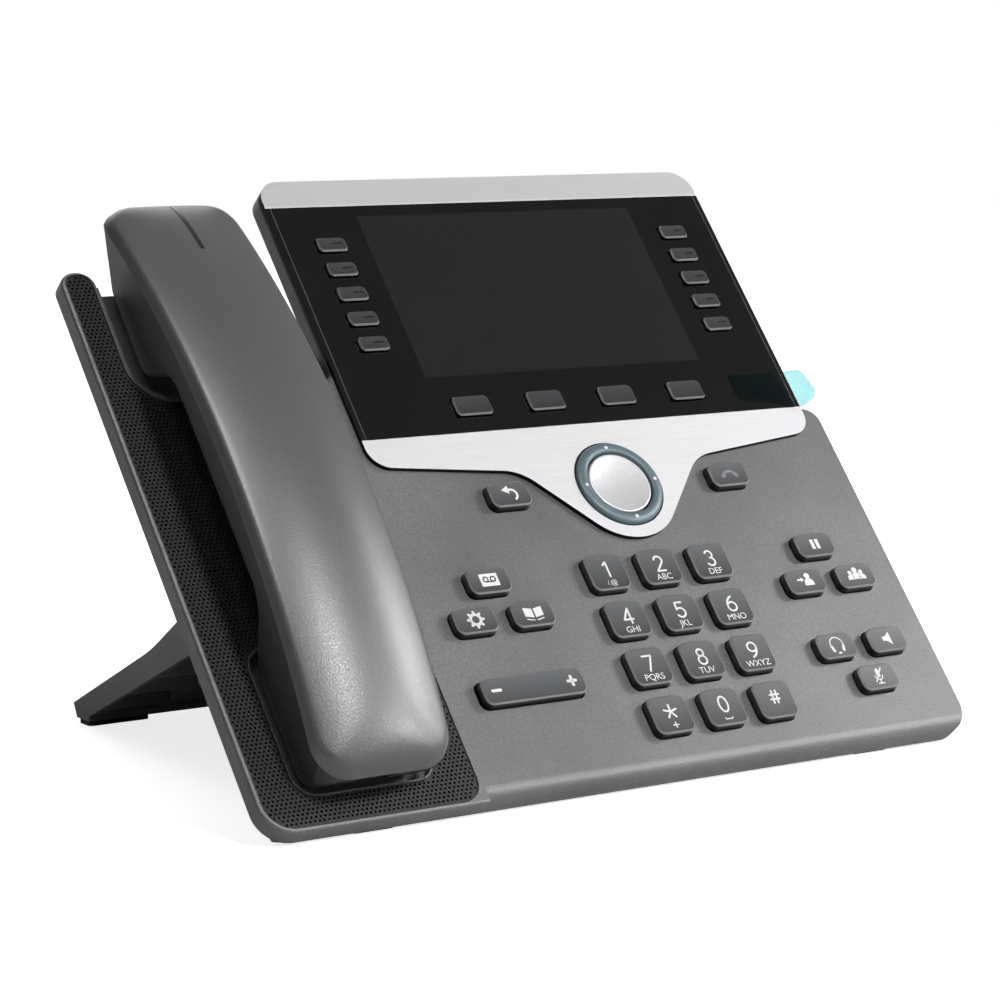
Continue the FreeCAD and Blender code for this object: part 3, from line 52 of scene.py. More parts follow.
JOINTS = {joint["name"]: joint for joint in frame["joints"]}
KEYS_IN_GLASS = ("line_key", "soft_key")

# The tilted face: across it, up it and out of it
ACROSS = Vector((1, 0, 0))
OUT = -Vector(JOINTS["key_5_press"]["axis"])
UP = OUT.cross(ACROSS)
TILT = math.atan2(UP.z, UP.y)
FACE_TO_WORLD = Matrix((ACROSS, UP, OUT)).transposed()

# The photograph's camera, and in metres the nearest that it sees
CAMERA_PLACE = Vector((-529.4, -813.4, 216.1)) * MM
CAMERA_AIM = Vector((0.5452, 0.8263, -0.1417))
CAMERA_LENS = 111.1
SENSOR_WIDTH = 36.0
NEAREST_SEEN = 0.01


# Places on the face

def face_box(node):
    """Lowest and highest place of a node across, up and out of the tilted face."""
    places = [vertex.co for vertex in NODES[node].data.vertices]
    spans = [[place.dot(axis) for place in places] for axis in (ACROSS, UP, OUT)]
    return Vector([min(span) for span in spans]), Vector([max(span) for span in spans])


def face_top(node):
    """Middle of a node's outermost surface."""
    low, high = face_box(node)
    return Vector(((low.x + high.x) / 2, (low.y + high.y) / 2, high.z))


def face_matrix(place):
    """Frame of a flat drawing laid on the face at a place given in face terms."""
    return Matrix.Translation(FACE_TO_WORLD @ place) @ FACE_TO_WORLD.to_4x4()


# Pieces

# Points closer together than this are one point
WELD = 0.001


def add_object(name, data):
    """An object in the scene made of a mesh, a line of type, a lamp or a camera."""
    thing = bpy.data.objects.new(name, data)
    bpy.context.scene.collection.objects.link(thing)
    return thing


def add_piece(name, mesh, body, material):
    """A piece that rides with a body, in one material."""
    piece = add_object(name, mesh)
    mesh.materials.clear()
    mesh.materials.append(material)
    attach(piece, body)
    return piece


def mesh_of(shape, name):
    """The mesh of a shape that is ready."""
    mesh = bpy.data.meshes.new(name)
    shape.to_mesh(mesh)
    shape.free()
    return mesh


def join_rows(shape, rows, first=1):
    """Four-sided faces between rows of points; a first step of nought closes each row on itself."""
    for here, after in zip(rows, rows[1:]):
        for step in range(first, len(here)):
            shape.faces.new((here[step - 1], here[step], after[step], after[step - 1]))


def close_skin(shape):
    """Points that meet made one, and every face turned outwards."""
    bmesh.ops.remove_doubles(shape, verts=shape.verts, dist=WELD * MM)
    bmesh.ops.recalc_face_normals(shape, faces=shape.faces)


# Materials

def linear(code):
    """Linear colour of an sRGB hex code."""
    channels = [int(code[place:place + 2], 16) / 255 for place in (1, 3, 5)]
    return [c / 12.92 if c <= 0.04045 else ((c + 0.055) / 1.055) ** 2.4 for c in channels] + [1.0]


def add_node(tree, kind, inputs=None, stops=(), **settings):
    """A shader node with its settings, its inputs set or linked, and the stops of its colour ramp."""
    node = tree.nodes.new(kind)
    for name, setting in settings.items():
        setattr(node, name, setting)
    for index, (place, code) in enumerate(stops):
        node.color_ramp.elements[index].position = place
        node.color_ramp.elements[index].color = linear(code)
    ends = {end.name: end for end in node.inputs if end.enabled} | dict(enumerate(node.inputs))
    for socket, given in (inputs or {}).items():
        if isinstance(given, bpy.types.NodeSocket):
            tree.links.new(given, ends[socket])
        else:
            ends[socket].default_value = given
    return node


def shown(node):
    """The output in use of a node that has one for each kind of data."""
    return next(end for end in node.outputs if end.enabled)


def shader_of(material):
    return material.node_tree.nodes["Principled BSDF"]


def new_material(name, **sockets):
    """A material with the plain numbers of its shader set, and its tree of nodes."""
    material = bpy.data.materials.new(name)
    material.use_nodes = True
    for socket, given in sockets.items():
        shader_of(material).inputs[socket.replace("_", " ")].default_value = given
    return material, material.node_tree


def link_finish(material, **sockets):
    """Textures linked to sockets of a material's shader."""
    for socket, texture in sockets.items():
        material.node_tree.links.new(texture, shader_of(material).inputs[socket.replace("_", " ")])


def per_metre(size_in_mm):
    """Scale of a texture whose pattern repeats over a real size."""
    return 1 / (size_in_mm * MM)


def face_coordinates(tree):
    """Object coordinates turned so that they run across, up and out of the face."""
    place = add_node(tree, "ShaderNodeTexCoord").outputs["Object"]
    return add_node(tree, "ShaderNodeMapping", {"Vector": place, "Rotation": (-TILT, 0, 0)},
                    vector_type="POINT").outputs["Vector"]


def facing_out(tree):
    """One where a surface faces straight out of the tilted face, nought where it stands square to it."""
    normal = add_node(tree, "ShaderNodeNewGeometry").outputs["Normal"]
    return add_node(tree, "ShaderNodeVectorMath", {0: normal, 1: OUT},
                    operation="DOT_PRODUCT").outputs["Value"]


def inside(tree, coordinate, low, high):
    """One where a coordinate lies between two places, nought elsewhere."""
    above = add_node(tree, "ShaderNodeMath", {0: coordinate, 1: low}, operation="GREATER_THAN")
    below = add_node(tree, "ShaderNodeMath", {0: coordinate, 1: high}, operation="LESS_THAN")
    return add_node(tree, "ShaderNodeMath", {0: above.outputs[0], 1: below.outputs[0]},
                    operation="MULTIPLY").outputs[0]


# Real sizes of what the finishes show. True moulding grain, print grit and brush lines are finer than the
# picture can hold, so each is drawn as coarse as it needs to be seen.
MOULD_FLOW = 60
KEY_GRAIN = 0.5
BRUSH_LINE = 0.35
BRUSH_RELIEF = 0.02
# Brush lines are drawn out across the face
BRUSH_STRETCH = (0.012, 1.0, 1.0)
WIPE_MARK = 25
# How far the painted shade beside the glass reaches past it
SHADE_STRIP_OVERLAP = 0.05
BAND_FADE = 1.0
SCREEN_BORDER = 2.4
# Width of the painted highlight along the glass's edges
EDGE_HIGHLIGHT_WIDTH = 0.3
FILM_FADE = 0.1
# How squarely a key's top faces out, and how little a flank does
TOP_FACING = 0.82
FLANK_FACING = 0.5


def textured_abs(name, light, dark, grain, depth, roughness):
    """ABS moulded in a spark-eroded tool: an even fine grain that scatters highlights."""
    material, tree = new_material(name, IOR=1.53, Specular_IOR_Level=0.6)
    place = add_node(tree, "ShaderNodeTexCoord").outputs["Object"]
    grains = add_node(tree, "ShaderNodeTexNoise",
                      {"Vector": place, "Scale": per_metre(grain), "Detail": 2.0}).outputs["Fac"]
    flow = add_node(tree, "ShaderNodeTexNoise",
                    {"Vector": place, "Scale": per_metre(MOULD_FLOW), "Detail": 3.0}).outputs["Fac"]
    mixed = add_node(tree, "ShaderNodeMath", {0: grains, 1: flow}, operation="MULTIPLY")
    tone = add_node(tree, "ShaderNodeValToRGB", {"Fac": mixed.outputs[0]}, ((0.1, dark), (0.45, light)))
    sheen = add_node(tree, "ShaderNodeMapRange",
                     {"Value": grains, "From Min": 0.3, "From Max": 0.7,
                      "To Min": roughness - 0.06, "To Max": roughness + 0.06})
    relief = add_node(tree, "ShaderNodeBump", {"Height": grains, "Strength": 0.6, "Distance": depth * MM})
    link_finish(material, Base_Color=tone.outputs["Color"], Roughness=sheen.outputs["Result"],
                Normal=relief.outputs["Normal"])
    return material


def key_polycarbonate(name, far, near, edge, flank, roughness):
    """Moulded polycarbonate cap with painted light: a gloss top paler to its far side, a highlight on the rim,
    shade on the flanks.
    """
    material, tree = new_material(name, IOR=1.58, Specular_IOR_Level=0.4)
    place = add_node(tree, "ShaderNodeTexCoord")
    facing = facing_out(tree)
    height = add_node(tree, "ShaderNodeSeparateXYZ", {"Vector": place.outputs["Generated"]})
    # Painted light: the top pales from its near side to its far side
    top = add_node(tree, "ShaderNodeValToRGB", {"Fac": height.outputs["Z"]}, ((0.25, near), (1.0, far)))
    # Painted highlight on the rim and painted shade on the flanks, set by how squarely each faces out
    sides = add_node(tree, "ShaderNodeValToRGB", {"Fac": facing}, ((0.4, flank), (0.6, edge)))
    flat = add_node(tree, "ShaderNodeMath", {0: facing, 1: TOP_FACING}, operation="GREATER_THAN")
    both = add_node(tree, "ShaderNodeMix",
                    {"Factor": flat.outputs[0], "A": sides.outputs["Color"], "B": top.outputs["Color"]},
                    data_type="RGBA")
    specks = add_node(tree, "ShaderNodeTexNoise",
                      {"Vector": place.outputs["Object"], "Scale": per_metre(KEY_GRAIN), "Detail": 3.0})
    sheen = add_node(tree, "ShaderNodeMapRange",
                     {"Value": specks.outputs["Fac"],
                      "To Min": roughness - 0.05, "To Max": roughness + 0.08})
    link_finish(material, Base_Color=shown(both), Roughness=sheen.outputs["Result"])
    return material


def brushed_aluminium(name, light, dark, roughness, metallic):
    """Aluminium foil finish, brushed across the face: long fine streaks."""
    material, tree = new_material(name, Metallic=metallic)
    drawn_out = add_node(tree, "ShaderNodeVectorMath", {0: face_coordinates(tree), 1: BRUSH_STRETCH},
                         operation="MULTIPLY")
    streaks = add_node(tree, "ShaderNodeTexNoise",
                       {"Vector": drawn_out.outputs["Vector"], "Scale": per_metre(BRUSH_LINE),
                        "Detail": 4.0}).outputs["Fac"]
    tone = add_node(tree, "ShaderNodeValToRGB", {"Fac": streaks}, ((0.3, dark), (0.7, light)))
    sheen = add_node(tree, "ShaderNodeMapRange",
                     {"Value": streaks, "To Min": roughness - 0.08, "To Max": roughness + 0.08})
    relief = add_node(tree, "ShaderNodeBump",
                      {"Height": streaks, "Strength": 0.08, "Distance": BRUSH_RELIEF * MM})
    link_finish(material, Base_Color=tone.outputs["Color"], Roughness=sheen.outputs["Result"],
                Normal=relief.outputs["Normal"])
    return material


def bezel_finish():
    """The display's frame: darker band above, pale chin below, and painted shade in near black, with little shine,
    beside the glass and on its flanks.
    """
    material = brushed_aluminium("brushed_aluminium_foil", "#dcdcde", "#d2d2d4", 0.5, 0.1)
    tree = material.node_tree
    low, high = face_box("display_glass")
    up = add_node(tree, "ShaderNodeSeparateXYZ", {"Vector": face_coordinates(tree)}).outputs["Y"]
    # Painted shade: the strip beside the glass and the frame's flanks are coloured near black, with little shine
    beside = inside(tree, up, low.y - SHADE_STRIP_OVERLAP * MM, high.y + SHADE_STRIP_OVERLAP * MM)
    flank = add_node(tree, "ShaderNodeMath", {0: facing_out(tree), 1: FLANK_FACING}, operation="LESS_THAN")
    black = add_node(tree, "ShaderNodeMath", {0: beside, 1: flank.outputs[0]},
                     operation="MAXIMUM").outputs[0]
    silver = shader_of(material).inputs["Base Color"].links[0].from_socket
    above = add_node(tree, "ShaderNodeMapRange",
                     {"Value": up, "From Min": high.y, "From Max": high.y + BAND_FADE * MM,
                      "To Min": 0.0, "To Max": 0.62})
    band = add_node(tree, "ShaderNodeMix",
                    {"Factor": above.outputs["Result"], "A": silver, "B": linear("#a8a8aa")},
                    data_type="RGBA")
    both = add_node(tree, "ShaderNodeMix", {"Factor": black, "A": shown(band), "B": linear("#0e0e0f")},
                    data_type="RGBA")
    gloss = add_node(tree, "ShaderNodeMapRange", {"Value": black, "To Min": 0.5, "To Max": 0.08})
    link_finish(material, Base_Color=shown(both), Specular_IOR_Level=gloss.outputs["Result"])
    return material


def display_glass_finish():
    """Float glass printed black behind: the dark screen is a shade lighter, and a pale painted highlight lines its
    ground edge.
    """
    material, tree = new_material("black_printed_glass", IOR=1.52, Specular_IOR_Level=0.35,
                                  Coat_Weight=0.3, Coat_Roughness=0.03)
    place = face_coordinates(tree)
    parts = add_node(tree, "ShaderNodeSeparateXYZ", {"Vector": place})
    border = SCREEN_BORDER * MM
    low, high = face_box("lcd_panel")
    wide = inside(tree, parts.outputs["X"], low.x + border, high.x - border)
    tall = inside(tree, parts.outputs["Y"], low.y + border, high.y - border)
    screen = add_node(tree, "ShaderNodeMath", {0: wide, 1: tall}, operation="MULTIPLY")
    tone = add_node(tree, "ShaderNodeMix",
                    {"Factor": screen.outputs[0], "A": linear("#0f0f10"), "B": linear("#202022")},
                    data_type="RGBA")
    # Painted highlight: a pale line along the glass's left and right edges
    left, right = [corner.x for corner in face_box("display_glass")]
    middle = inside(tree, parts.outputs["X"], left + EDGE_HIGHLIGHT_WIDTH * MM, right - EDGE_HIGHLIGHT_WIDTH * MM)
    edge_highlighted = add_node(tree, "ShaderNodeMix", {"Factor": middle, "A": linear("#58585a"), "B": shown(tone)},
                     data_type="RGBA")
    wiped = add_node(tree, "ShaderNodeTexNoise",
                     {"Vector": place, "Scale": per_metre(WIPE_MARK), "Detail": 3.0})
    sheen = add_node(tree, "ShaderNodeMapRange",
                     {"Value": wiped.outputs["Fac"], "To Min": 0.14, "To Max": 0.24})
    link_finish(material, Base_Color=shown(edge_highlighted), Roughness=sheen.outputs["Result"])
    return material


def speckled(name, light, dark, grain, roughness, **sockets):
    """A plain moulded or printed surface with faint specks in its colour and gloss."""
    material, tree = new_material(name, **sockets)
    place = add_node(tree, "ShaderNodeTexCoord").outputs["Object"]
    specks = add_node(tree, "ShaderNodeTexNoise",
                      {"Vector": place, "Scale": per_metre(grain), "Detail": 3.0}).outputs["Fac"]
    tone = add_node(tree, "ShaderNodeValToRGB", {"Fac": specks}, ((0.35, dark), (0.65, light)))
    sheen = add_node(tree, "ShaderNodeMapRange",
                     {"Value": specks, "To Min": roughness - 0.05, "To Max": roughness + 0.05})
    link_finish(material, Base_Color=tone.outputs["Color"], Roughness=sheen.outputs["Result"])
    return material


def film_finish():
    """Clear polyester film: hardly seen on the glass, a tinted tab past the display."""
    material = speckled("cyan_polyester_film", "#80feff", "#78f8fc", 3.0, 0.3)
    tree = material.node_tree
    parts = add_node(tree, "ShaderNodeSeparateXYZ", {"Vector": face_coordinates(tree)})
    edge = face_box("display_bezel")[1].x
    cover = add_node(tree, "ShaderNodeMapRange",
                     {"Value": parts.outputs["X"], "From Min": edge - FILM_FADE * MM,
                      "From Max": edge + FILM_FADE * MM, "To Min": 0.003, "To Max": 0.5})
    link_finish(material, Alpha=cover.outputs["Result"])
    return material


# The face's grain breaks every highlight into a soft bloom
HOUSING = textured_abs("spark_textured_abs", "#747476", "#4e4e50", 0.55, 0.15, 0.44)
# A shallower grain gives the handset long satin streaks of light
HANDSET = textured_abs("satin_textured_abs", "#5a5a5c", "#505052", 0.5, 0.09, 0.37)
# The half that faces the cradle is duller, and painted darker as shade
SHADED_INNER_HANDSET = textured_abs("satin_textured_abs_inner_shaded", "#404042", "#343436", 0.5, 0.1, 0.42)
# The stand's coarser skin hardly shines
STAND = textured_abs("moulded_abs_stand", "#7a7a7c", "#565658", 0.8, 0.15, 0.48)
# Lacquer gives the caps a smooth soft shine; their colours paint light paler to the far side, a highlight on the
# rim and shade on the flanks
KEYS = key_polycarbonate("lacquered_polycarbonate", "#646668", "#26272a", "#868688", "#080809", 0.3)
# The caps in the glass are darker and shinier, with the same painted light, highlight and shade
GLASS_KEYS = key_polycarbonate("gloss_polycarbonate", "#444547", "#222324", "#747476", "#080809", 0.24)
# Black plastic between the sound holes, too dull to mirror anything
GRILLE = speckled("black_perforated_abs", "#2e2e2f", "#212122", 0.8, 0.48, Specular_IOR_Level=0.25)
# A black sheet under the holes stands in for the shade inside them
HOLE_SHADE_SHEET = speckled("black_hole_shade_sheet", "#0b0b0b", "#050505", 0.4, 0.9, Specular_IOR_Level=0.1)
BEZEL = bezel_finish()
GLASS = display_glass_finish()
# Blasted metal with a wide soft glow in its dish
SELECT = speckled("satin_aluminium_button", "#d8d8da", "#ccccce", 0.5, 0.36, Metallic=0.35)
# An even moulded colour with a broad low shine
RING = speckled("blue_grey_polycarbonate", "#60757d", "#51666e", 0.6, 0.42)
# Nearly black and quite matt
RUBBER = speckled("moulded_rubber", "#1f1f20", "#131314", 0.7, 0.75)
# A glossy green lacquer, slightly mottled
BOARD = speckled("solder_mask_on_fibreglass", "#1f5a35", "#174a2b", 1.2, 0.4)
# Smooth and grey black
LCD = speckled("display_polariser", "#222326", "#1a1b1e", 2.0, 0.2)
# An even coat of black paint
SPEAKER = speckled("painted_steel_basket", "#2c2c2d", "#1d1d1e", 0.6, 0.5)
# Bright metal with faint marks of the press
CAPSULE = speckled("drawn_aluminium_can", "#c4c4c6", "#a8a8aa", 0.4, 0.35, Metallic=0.9)
# Dark until its lamp is lit
LENS = speckled("smoked_polycarbonate_lens", "#3a3638", "#2a2628", 0.8, 0.25)
FILM = film_finish()
# Flat and opaque, in white, in grey for the key that is off, and in charcoal on a white plate
INK = speckled("white_screen_print", "#f4f4f4", "#e6e6e6", 0.3, 0.55)
DIM_INK = speckled("grey_screen_print", "#8a8b8d", "#7d7e80", 0.3, 0.55)
DARK_INK = speckled("charcoal_screen_print", "#2d2e30", "#242527", 0.3, 0.5)
# A dull dark slit in the cap
LAMP_WINDOW = speckled("smoked_lamp_window", "#0a0a0b", "#060607", 0.3, 0.6, Specular_IOR_Level=0.1)

FINISHES = {
    "housing_plastic": HOUSING,
    "handset_plastic": HANDSET,
    "stand_plastic": STAND,
    "key_plastic": KEYS,
    "grille_plastic": GRILLE,
    "silver_paint": BEZEL,
    "display_glass": GLASS,
    "lcd": LCD,
    "circuit_board": BOARD,
    "rubber": RUBBER,
    "speaker_metal": SPEAKER,
    "film": FILM,
    "light_lens": LENS,
    "capsule_metal": CAPSULE,
    "ring_plastic": RING,
}
OWN_FINISHES = {"select_button": SELECT, "handset_inner_shell": SHADED_INNER_HANDSET}


def finish_nodes():
    """Every solid gets the finish of its slot, apart from those with a finish of their own."""
    for name, node in NODES.items():
        material = OWN_FINISHES.get(name, FINISHES[SLOT_OF[name]])
        if name.startswith(KEYS_IN_GLASS):
            material = GLASS_KEYS
        if not node.data.materials:
            node.data.materials.append(material)
        node.material_slots[0].material = material


# Key caps

# The photographed caps stand further out of the face than their stems need
CAP_RIM = 0.7
CAP_LIFT = 1.0
GLASS_CAP_LIFT = 0.35


def cap_lift(node):
    """How far a key's cap is drawn out."""
    if node.startswith(KEYS_IN_GLASS):
        return GLASS_CAP_LIFT * MM
    return CAP_LIFT * MM


def add_caps():
    """Every key's cap drawn out to its photographed height, on the flanks that it has."""
    for node, slot in SLOT_OF.items():
        if slot == "key_plastic" and BODY_OF[node] == node and node != "hook_plunger":
            mesh = NODES[node].data.copy()
            rim = face_box(node)[1].z - CAP_RIM * MM
            for vertex in mesh.vertices:
                if vertex.co.dot(OUT) > rim:
                    vertex.co += OUT * cap_lift(node)
            piece = add_piece(node + "_cap", mesh, node, NODES[node].material_slots[0].material)
            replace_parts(piece, node)


# Printed legends

PRINT_LIFT = 0.03


def rotated(vector, degrees):
    angle = math.radians(degrees)
    return Vector((vector.x * math.cos(angle) - vector.y * math.sin(angle),
                   vector.x * math.sin(angle) + vector.y * math.cos(angle)))


def ribbon(points, width):
    """Outline of a stroke of even width along a line of points, with round ends."""
    places = [Vector(point) for point in points]
    sides = []
    for index, place in enumerate(places):
        before = places[max(index - 1, 0)]
        after = places[min(index + 1, len(places) - 1)]
        along = (after - before).normalized()
        sides.append(Vector((-along.y, along.x)) * width / 2)
    left = [place + side for place, side in zip(places, sides)]
    right = [place - side for place, side in zip(places, sides)]
    tail = [places[-1] + rotated(sides[-1], -degrees) for degrees in (45, 90, 135)]
    head = [places[0] + rotated(-sides[0], -degrees) for degrees in (45, 90, 135)]
    return left + tail + right[::-1] + head


def arc(across, up, radius, start, end, steps=12):
    """Points along a round stretch, from one angle to another in degrees."""
    angles = [math.radians(start + (end - start) * step / steps) for step in range(steps + 1)]
    return [(across + radius * math.cos(angle), up + radius * math.sin(angle)) for angle in angles]


def ring(across, up, radius, width):
    """A closed round stroke, in two halves."""
    return [ribbon(arc(across, up, radius, start, start + 180, 14), width) for start in (0, 180)]


def head_and_shoulders(across, up, size):
    head = arc(across, up + 0.5 * size, 0.85 * size, 0, 345)
    shoulders = arc(across, up - 1.7 * size, 1.5 * size, 180, 0)
    foot = [(across + 1.5 * size, up - 2.3 * size), (across - 1.5 * size, up - 2.3 * size)]
    return [head, shoulders + foot]


def gear():
    spokes = [ribbon([arc(0, 0, reach, angle, angle, 1)[0] for reach in (2.0, 2.7)], 0.9)
              for angle in range(0, 360, 45)]
    return ring(0, 0, 1.75, 1.0) + spokes


# Each legend is a list of outlines in millimetres about the middle of its key
ICONS = {
    "key_back": [
        ribbon(arc(0.4, -0.5, 1.9, -60, 105), 0.8),
        [(-0.2, 2.9), (-2.9, 1.4), (-0.2, -0.1)],
    ],
    "key_hold": [
        [(-1.65, 1.8), (-0.35, 1.8), (-0.35, -1.8), (-1.65, -1.8)],
        [(0.35, 1.8), (1.65, 1.8), (1.65, -1.8), (0.35, -1.8)],
    ],
    "key_settings": gear(),
    "key_contacts": [
        [(-3.3, 2.1), (-0.3, 1.5), (-0.3, -1.6), (-3.3, -1.0)],
        [(0.3, 1.5), (3.3, 2.1), (3.3, -1.0), (0.3, -1.6)],
        ribbon([(-3.0, -2.0), (-0.6, -2.5)], 0.35),
        ribbon([(0.6, -2.5), (3.0, -2.0)], 0.35),
    ],
    "key_transfer": head_and_shoulders(1.0, 1.1, 1.25) + [
        ribbon([(-3.2, 0.5), (-1.9, 0.5)], 0.6),
        [(-2.0, 1.4), (-0.7, 0.5), (-2.0, -0.4)],
    ],
    "key_conference": [
        *head_and_shoulders(-2.2, 0.5, 0.95),
        *head_and_shoulders(2.2, 0.5, 0.95),
        *head_and_shoulders(0, 1.2, 1.2),
    ],
    "key_headset": [
        ribbon(arc(0, 0.3, 2.5, -15, 195, 20), 0.42),
        ribbon([(-2.35, -0.4), (-1.9, -2.0)], 1.0),
        ribbon([(2.35, -0.4), (1.9, -2.0)], 1.0),
        ribbon([(-0.4, -2.9), (0.4, -2.85)], 0.6),
    ],
    "key_speaker": [
        [(-1.9, 0.8), (-0.6, 0.8), (1.3, 2.4), (1.3, -2.4), (-0.6, -0.8), (-1.9, -0.8)],
    ],
    "key_mute": [
        ribbon([(0, 2.0), (0, 0.2)], 1.5),
        ribbon(arc(0, 0.2, 1.5, 180, 360), 0.4),
        ribbon([(0, -1.4), (0, -2.4)], 0.45),
        ribbon([(-1.1, -2.6), (1.1, -2.6)], 0.45),
        ribbon([(1.9, 2.7), (-1.8, -1.9)], 0.5),
    ],
    "volume_rocker": [
        ribbon([(-14.8, 0), (-12.0, 0)], 1.0),
        ribbon([(12.0, 0), (14.8, 0)], 1.0),
        ribbon([(13.4, 1.5), (13.4, -1.5)], 1.0),
    ],
}
RECEIVER_DOWN = [
    ribbon(arc(0, -2.4, 3.2, 40, 140, 16), 0.9),
    ribbon([(-2.6, -0.9), (-2.1, -0.3)], 1.5),
    ribbon([(2.6, -0.9), (2.1, -0.3)], 1.5),
]
MESSAGE_PLATE = [[(-3.2, 2.2), (3.2, 2.2), (3.2, -2.2), (-3.2, -2.2)]]
MESSAGE_REELS = [
    *ring(-1.3, 0.2, 0.85, 0.45),
    *ring(1.3, 0.2, 0.85, 0.45),
    ribbon([(-1.3, -0.65), (1.3, -0.65)], 0.45),
]
# The slit of the line keys' lamps runs from the middle to the right-hand edge
LAMP_SLIT = ribbon([(0.2, 0.1), (3.4, 0.25)], 0.55)

# Numerals drawn with a pen of even width, then made a little smaller and set above the letters
PEN = 0.66
DIGIT_SCALE = 0.94
DIGIT_RISE = 0.75
DIGITS = {
    "key_1": [[(-1.0, 1.7), (0.3, 2.8)], [(0.3, 2.8), (0.3, -2.8)]],
    "key_2": [arc(0, 1.25, 1.55, 165, -30), [(1.35, 0.5), (-1.6, -2.8)], [(-1.6, -2.8), (1.7, -2.8)]],
    "key_3": [arc(-0.1, 1.4, 1.4, 155, -90), arc(-0.1, -1.4, 1.55, 90, -155)],
    "key_4": [[(0.8, -2.8), (0.8, 2.8)], [(0.8, 2.8), (-1.8, -1.3)], [(-1.8, -1.3), (1.8, -1.3)]],
    "key_5": [[(1.4, 2.8), (-1.1, 2.8)], [(-1.1, 2.8), (-1.3, 0.4)], arc(-0.05, -1.05, 1.75, 135, -150)],
    "key_6": [arc(0, -1.1, 1.7, 0, 180), arc(0, -1.1, 1.7, 180, 360), arc(2.3, -1.0, 4.0, 178, 112)],
    "key_7": [[(-1.7, 2.8), (1.7, 2.8)], [(1.7, 2.8), (-0.5, -2.8)]],
    "key_8": [arc(0, 1.5, 1.3, 0, 180), arc(0, 1.5, 1.3, 180, 360), arc(0, -1.3, 1.6, 0, 180),
              arc(0, -1.3, 1.6, 180, 360)],
    "key_9": [arc(0, 1.1, 1.7, 0, 180), arc(0, 1.1, 1.7, 180, 360), arc(-2.3, 1.0, 4.0, -2, -68)],
    "key_0": [[(1.65 * across, 2.8 * up) for across, up in arc(0, 0, 1, start, start + 180, 18)]
              for start in (0, 180)],
    "key_star": [[(0, 0), place] for place in arc(0, 0, 2.5, 90, 378, 4)],
    "key_pound": [[(-1.0, -2.3), (-0.5, 2.3)], [(0.6, -2.3), (1.1, 2.3)], [(-1.7, 0.85), (1.9, 0.85)],
                  [(-1.9, -0.85), (1.7, -0.85)]],
}
SPACE_MARK = ribbon([(-1.3, -3.9), (-1.3, -4.4), (1.3, -4.4), (1.3, -3.9)], 0.35)

LETTERS = {
    "key_1": "/.@", "key_2": "ABC", "key_3": "DEF", "key_4": "GHI", "key_5": "JKL", "key_6": "MNO",
    "key_7": "PQRS", "key_8": "TUV", "key_9": "WXYZ", "key_star": "+",
}
LETTER_SIZE = 3.1
MARK_SIZES = {"key_1": 2.4, "key_star": 4.6}
LETTER_DROP = -4.1


def draw_outlines(shape, outlines, matrix):
    for outline in outlines:
        corners = [shape.verts.new(matrix @ Vector((across * MM, up * MM, 0))) for across, up in outline]
        shape.faces.new(corners)


def draw_text(shape, words, size, matrix):
    """Words set in the built-in typeface, centred across the key."""
    type_set = bpy.data.curves.new("words", "FONT")
    type_set.body = words
    type_set.size = size * MM
    type_set.align_x = "CENTER"
    type_set.align_y = "CENTER"
    type_set.resolution_u = 4
    draft = add_object("words", type_set)
    graph = bpy.context.evaluated_depsgraph_get()
    flat = bpy.data.meshes.new_from_object(draft.evaluated_get(graph), depsgraph=graph)
    flat.transform(matrix @ Matrix.Translation((0, LETTER_DROP * MM, 0)))
    shape.from_mesh(flat)
    bpy.data.objects.remove(draft)
    bpy.data.meshes.remove(flat)


def print_on(node, name, ink, outlines, words="", lift=PRINT_LIFT):
    """A screen print on the top of a key, which rides with it."""
    matrix = face_matrix(face_top(node) + Vector((0, 0, cap_lift(node) + lift * MM)))
    shape = bmesh.new()
    draw_outlines(shape, outlines, matrix)
    if words:
        draw_text(shape, words, MARK_SIZES.get(node, LETTER_SIZE), matrix)
    add_piece(name, mesh_of(shape, name), BODY_OF[node], ink)


def print_legends():
    for node, strokes in DIGITS.items():
        outlines = []
        for stroke in strokes:
            line = [(across * DIGIT_SCALE, up * DIGIT_SCALE + DIGIT_RISE) for across, up in stroke]
            outlines.append(ribbon(line, PEN))
        if node == "key_0":
            outlines.append(SPACE_MARK)
        print_on(node, node + "_print", INK, outlines, LETTERS.get(node, ""))
    for node, outlines in ICONS.items():
        print_on(node, node + "_print", INK, outlines)
    print_on("key_release", "key_release_print", DIM_INK, RECEIVER_DOWN)
    print_on("key_messages", "key_messages_plate", INK, MESSAGE_PLATE)
    print_on("key_messages", "key_messages_reels", DARK_INK, MESSAGE_REELS, lift=2 * PRINT_LIFT)
    for node in NODES:
        if node.startswith("line_key"):
            print_on(node, node + "_lamp", LAMP_WINDOW, [LAMP_SLIT])


# Navigation ring and its button

TURNED_SIDES = 120
# Radius and height under the piece's highest level, from the inside out
RING_PROFILE = (
    (11.6, -3.0), (11.6, -0.7), (11.75, -0.35), (12.2, -0.1), (12.8, 0), (13.5, -0.03), (14.2, -0.18),
    (14.75, -0.45), (15.12, -0.85), (15.3, -1.35), (15.3, -3.0),
)
# A shallow dish in a polished rim
BUTTON_PROFILE = (
    (0, -0.85), (2, -0.82), (4, -0.73), (6, -0.58), (8, -0.37), (9.6, -0.15), (10.2, -0.05),
    (10.55, 0), (10.85, -0.1), (11.0, -0.35), (11.0, -2.5),
)
RING_FLANGE = 1.4
DOT_RADIUS = 0.65
DOT_FLATNESS = 0.18


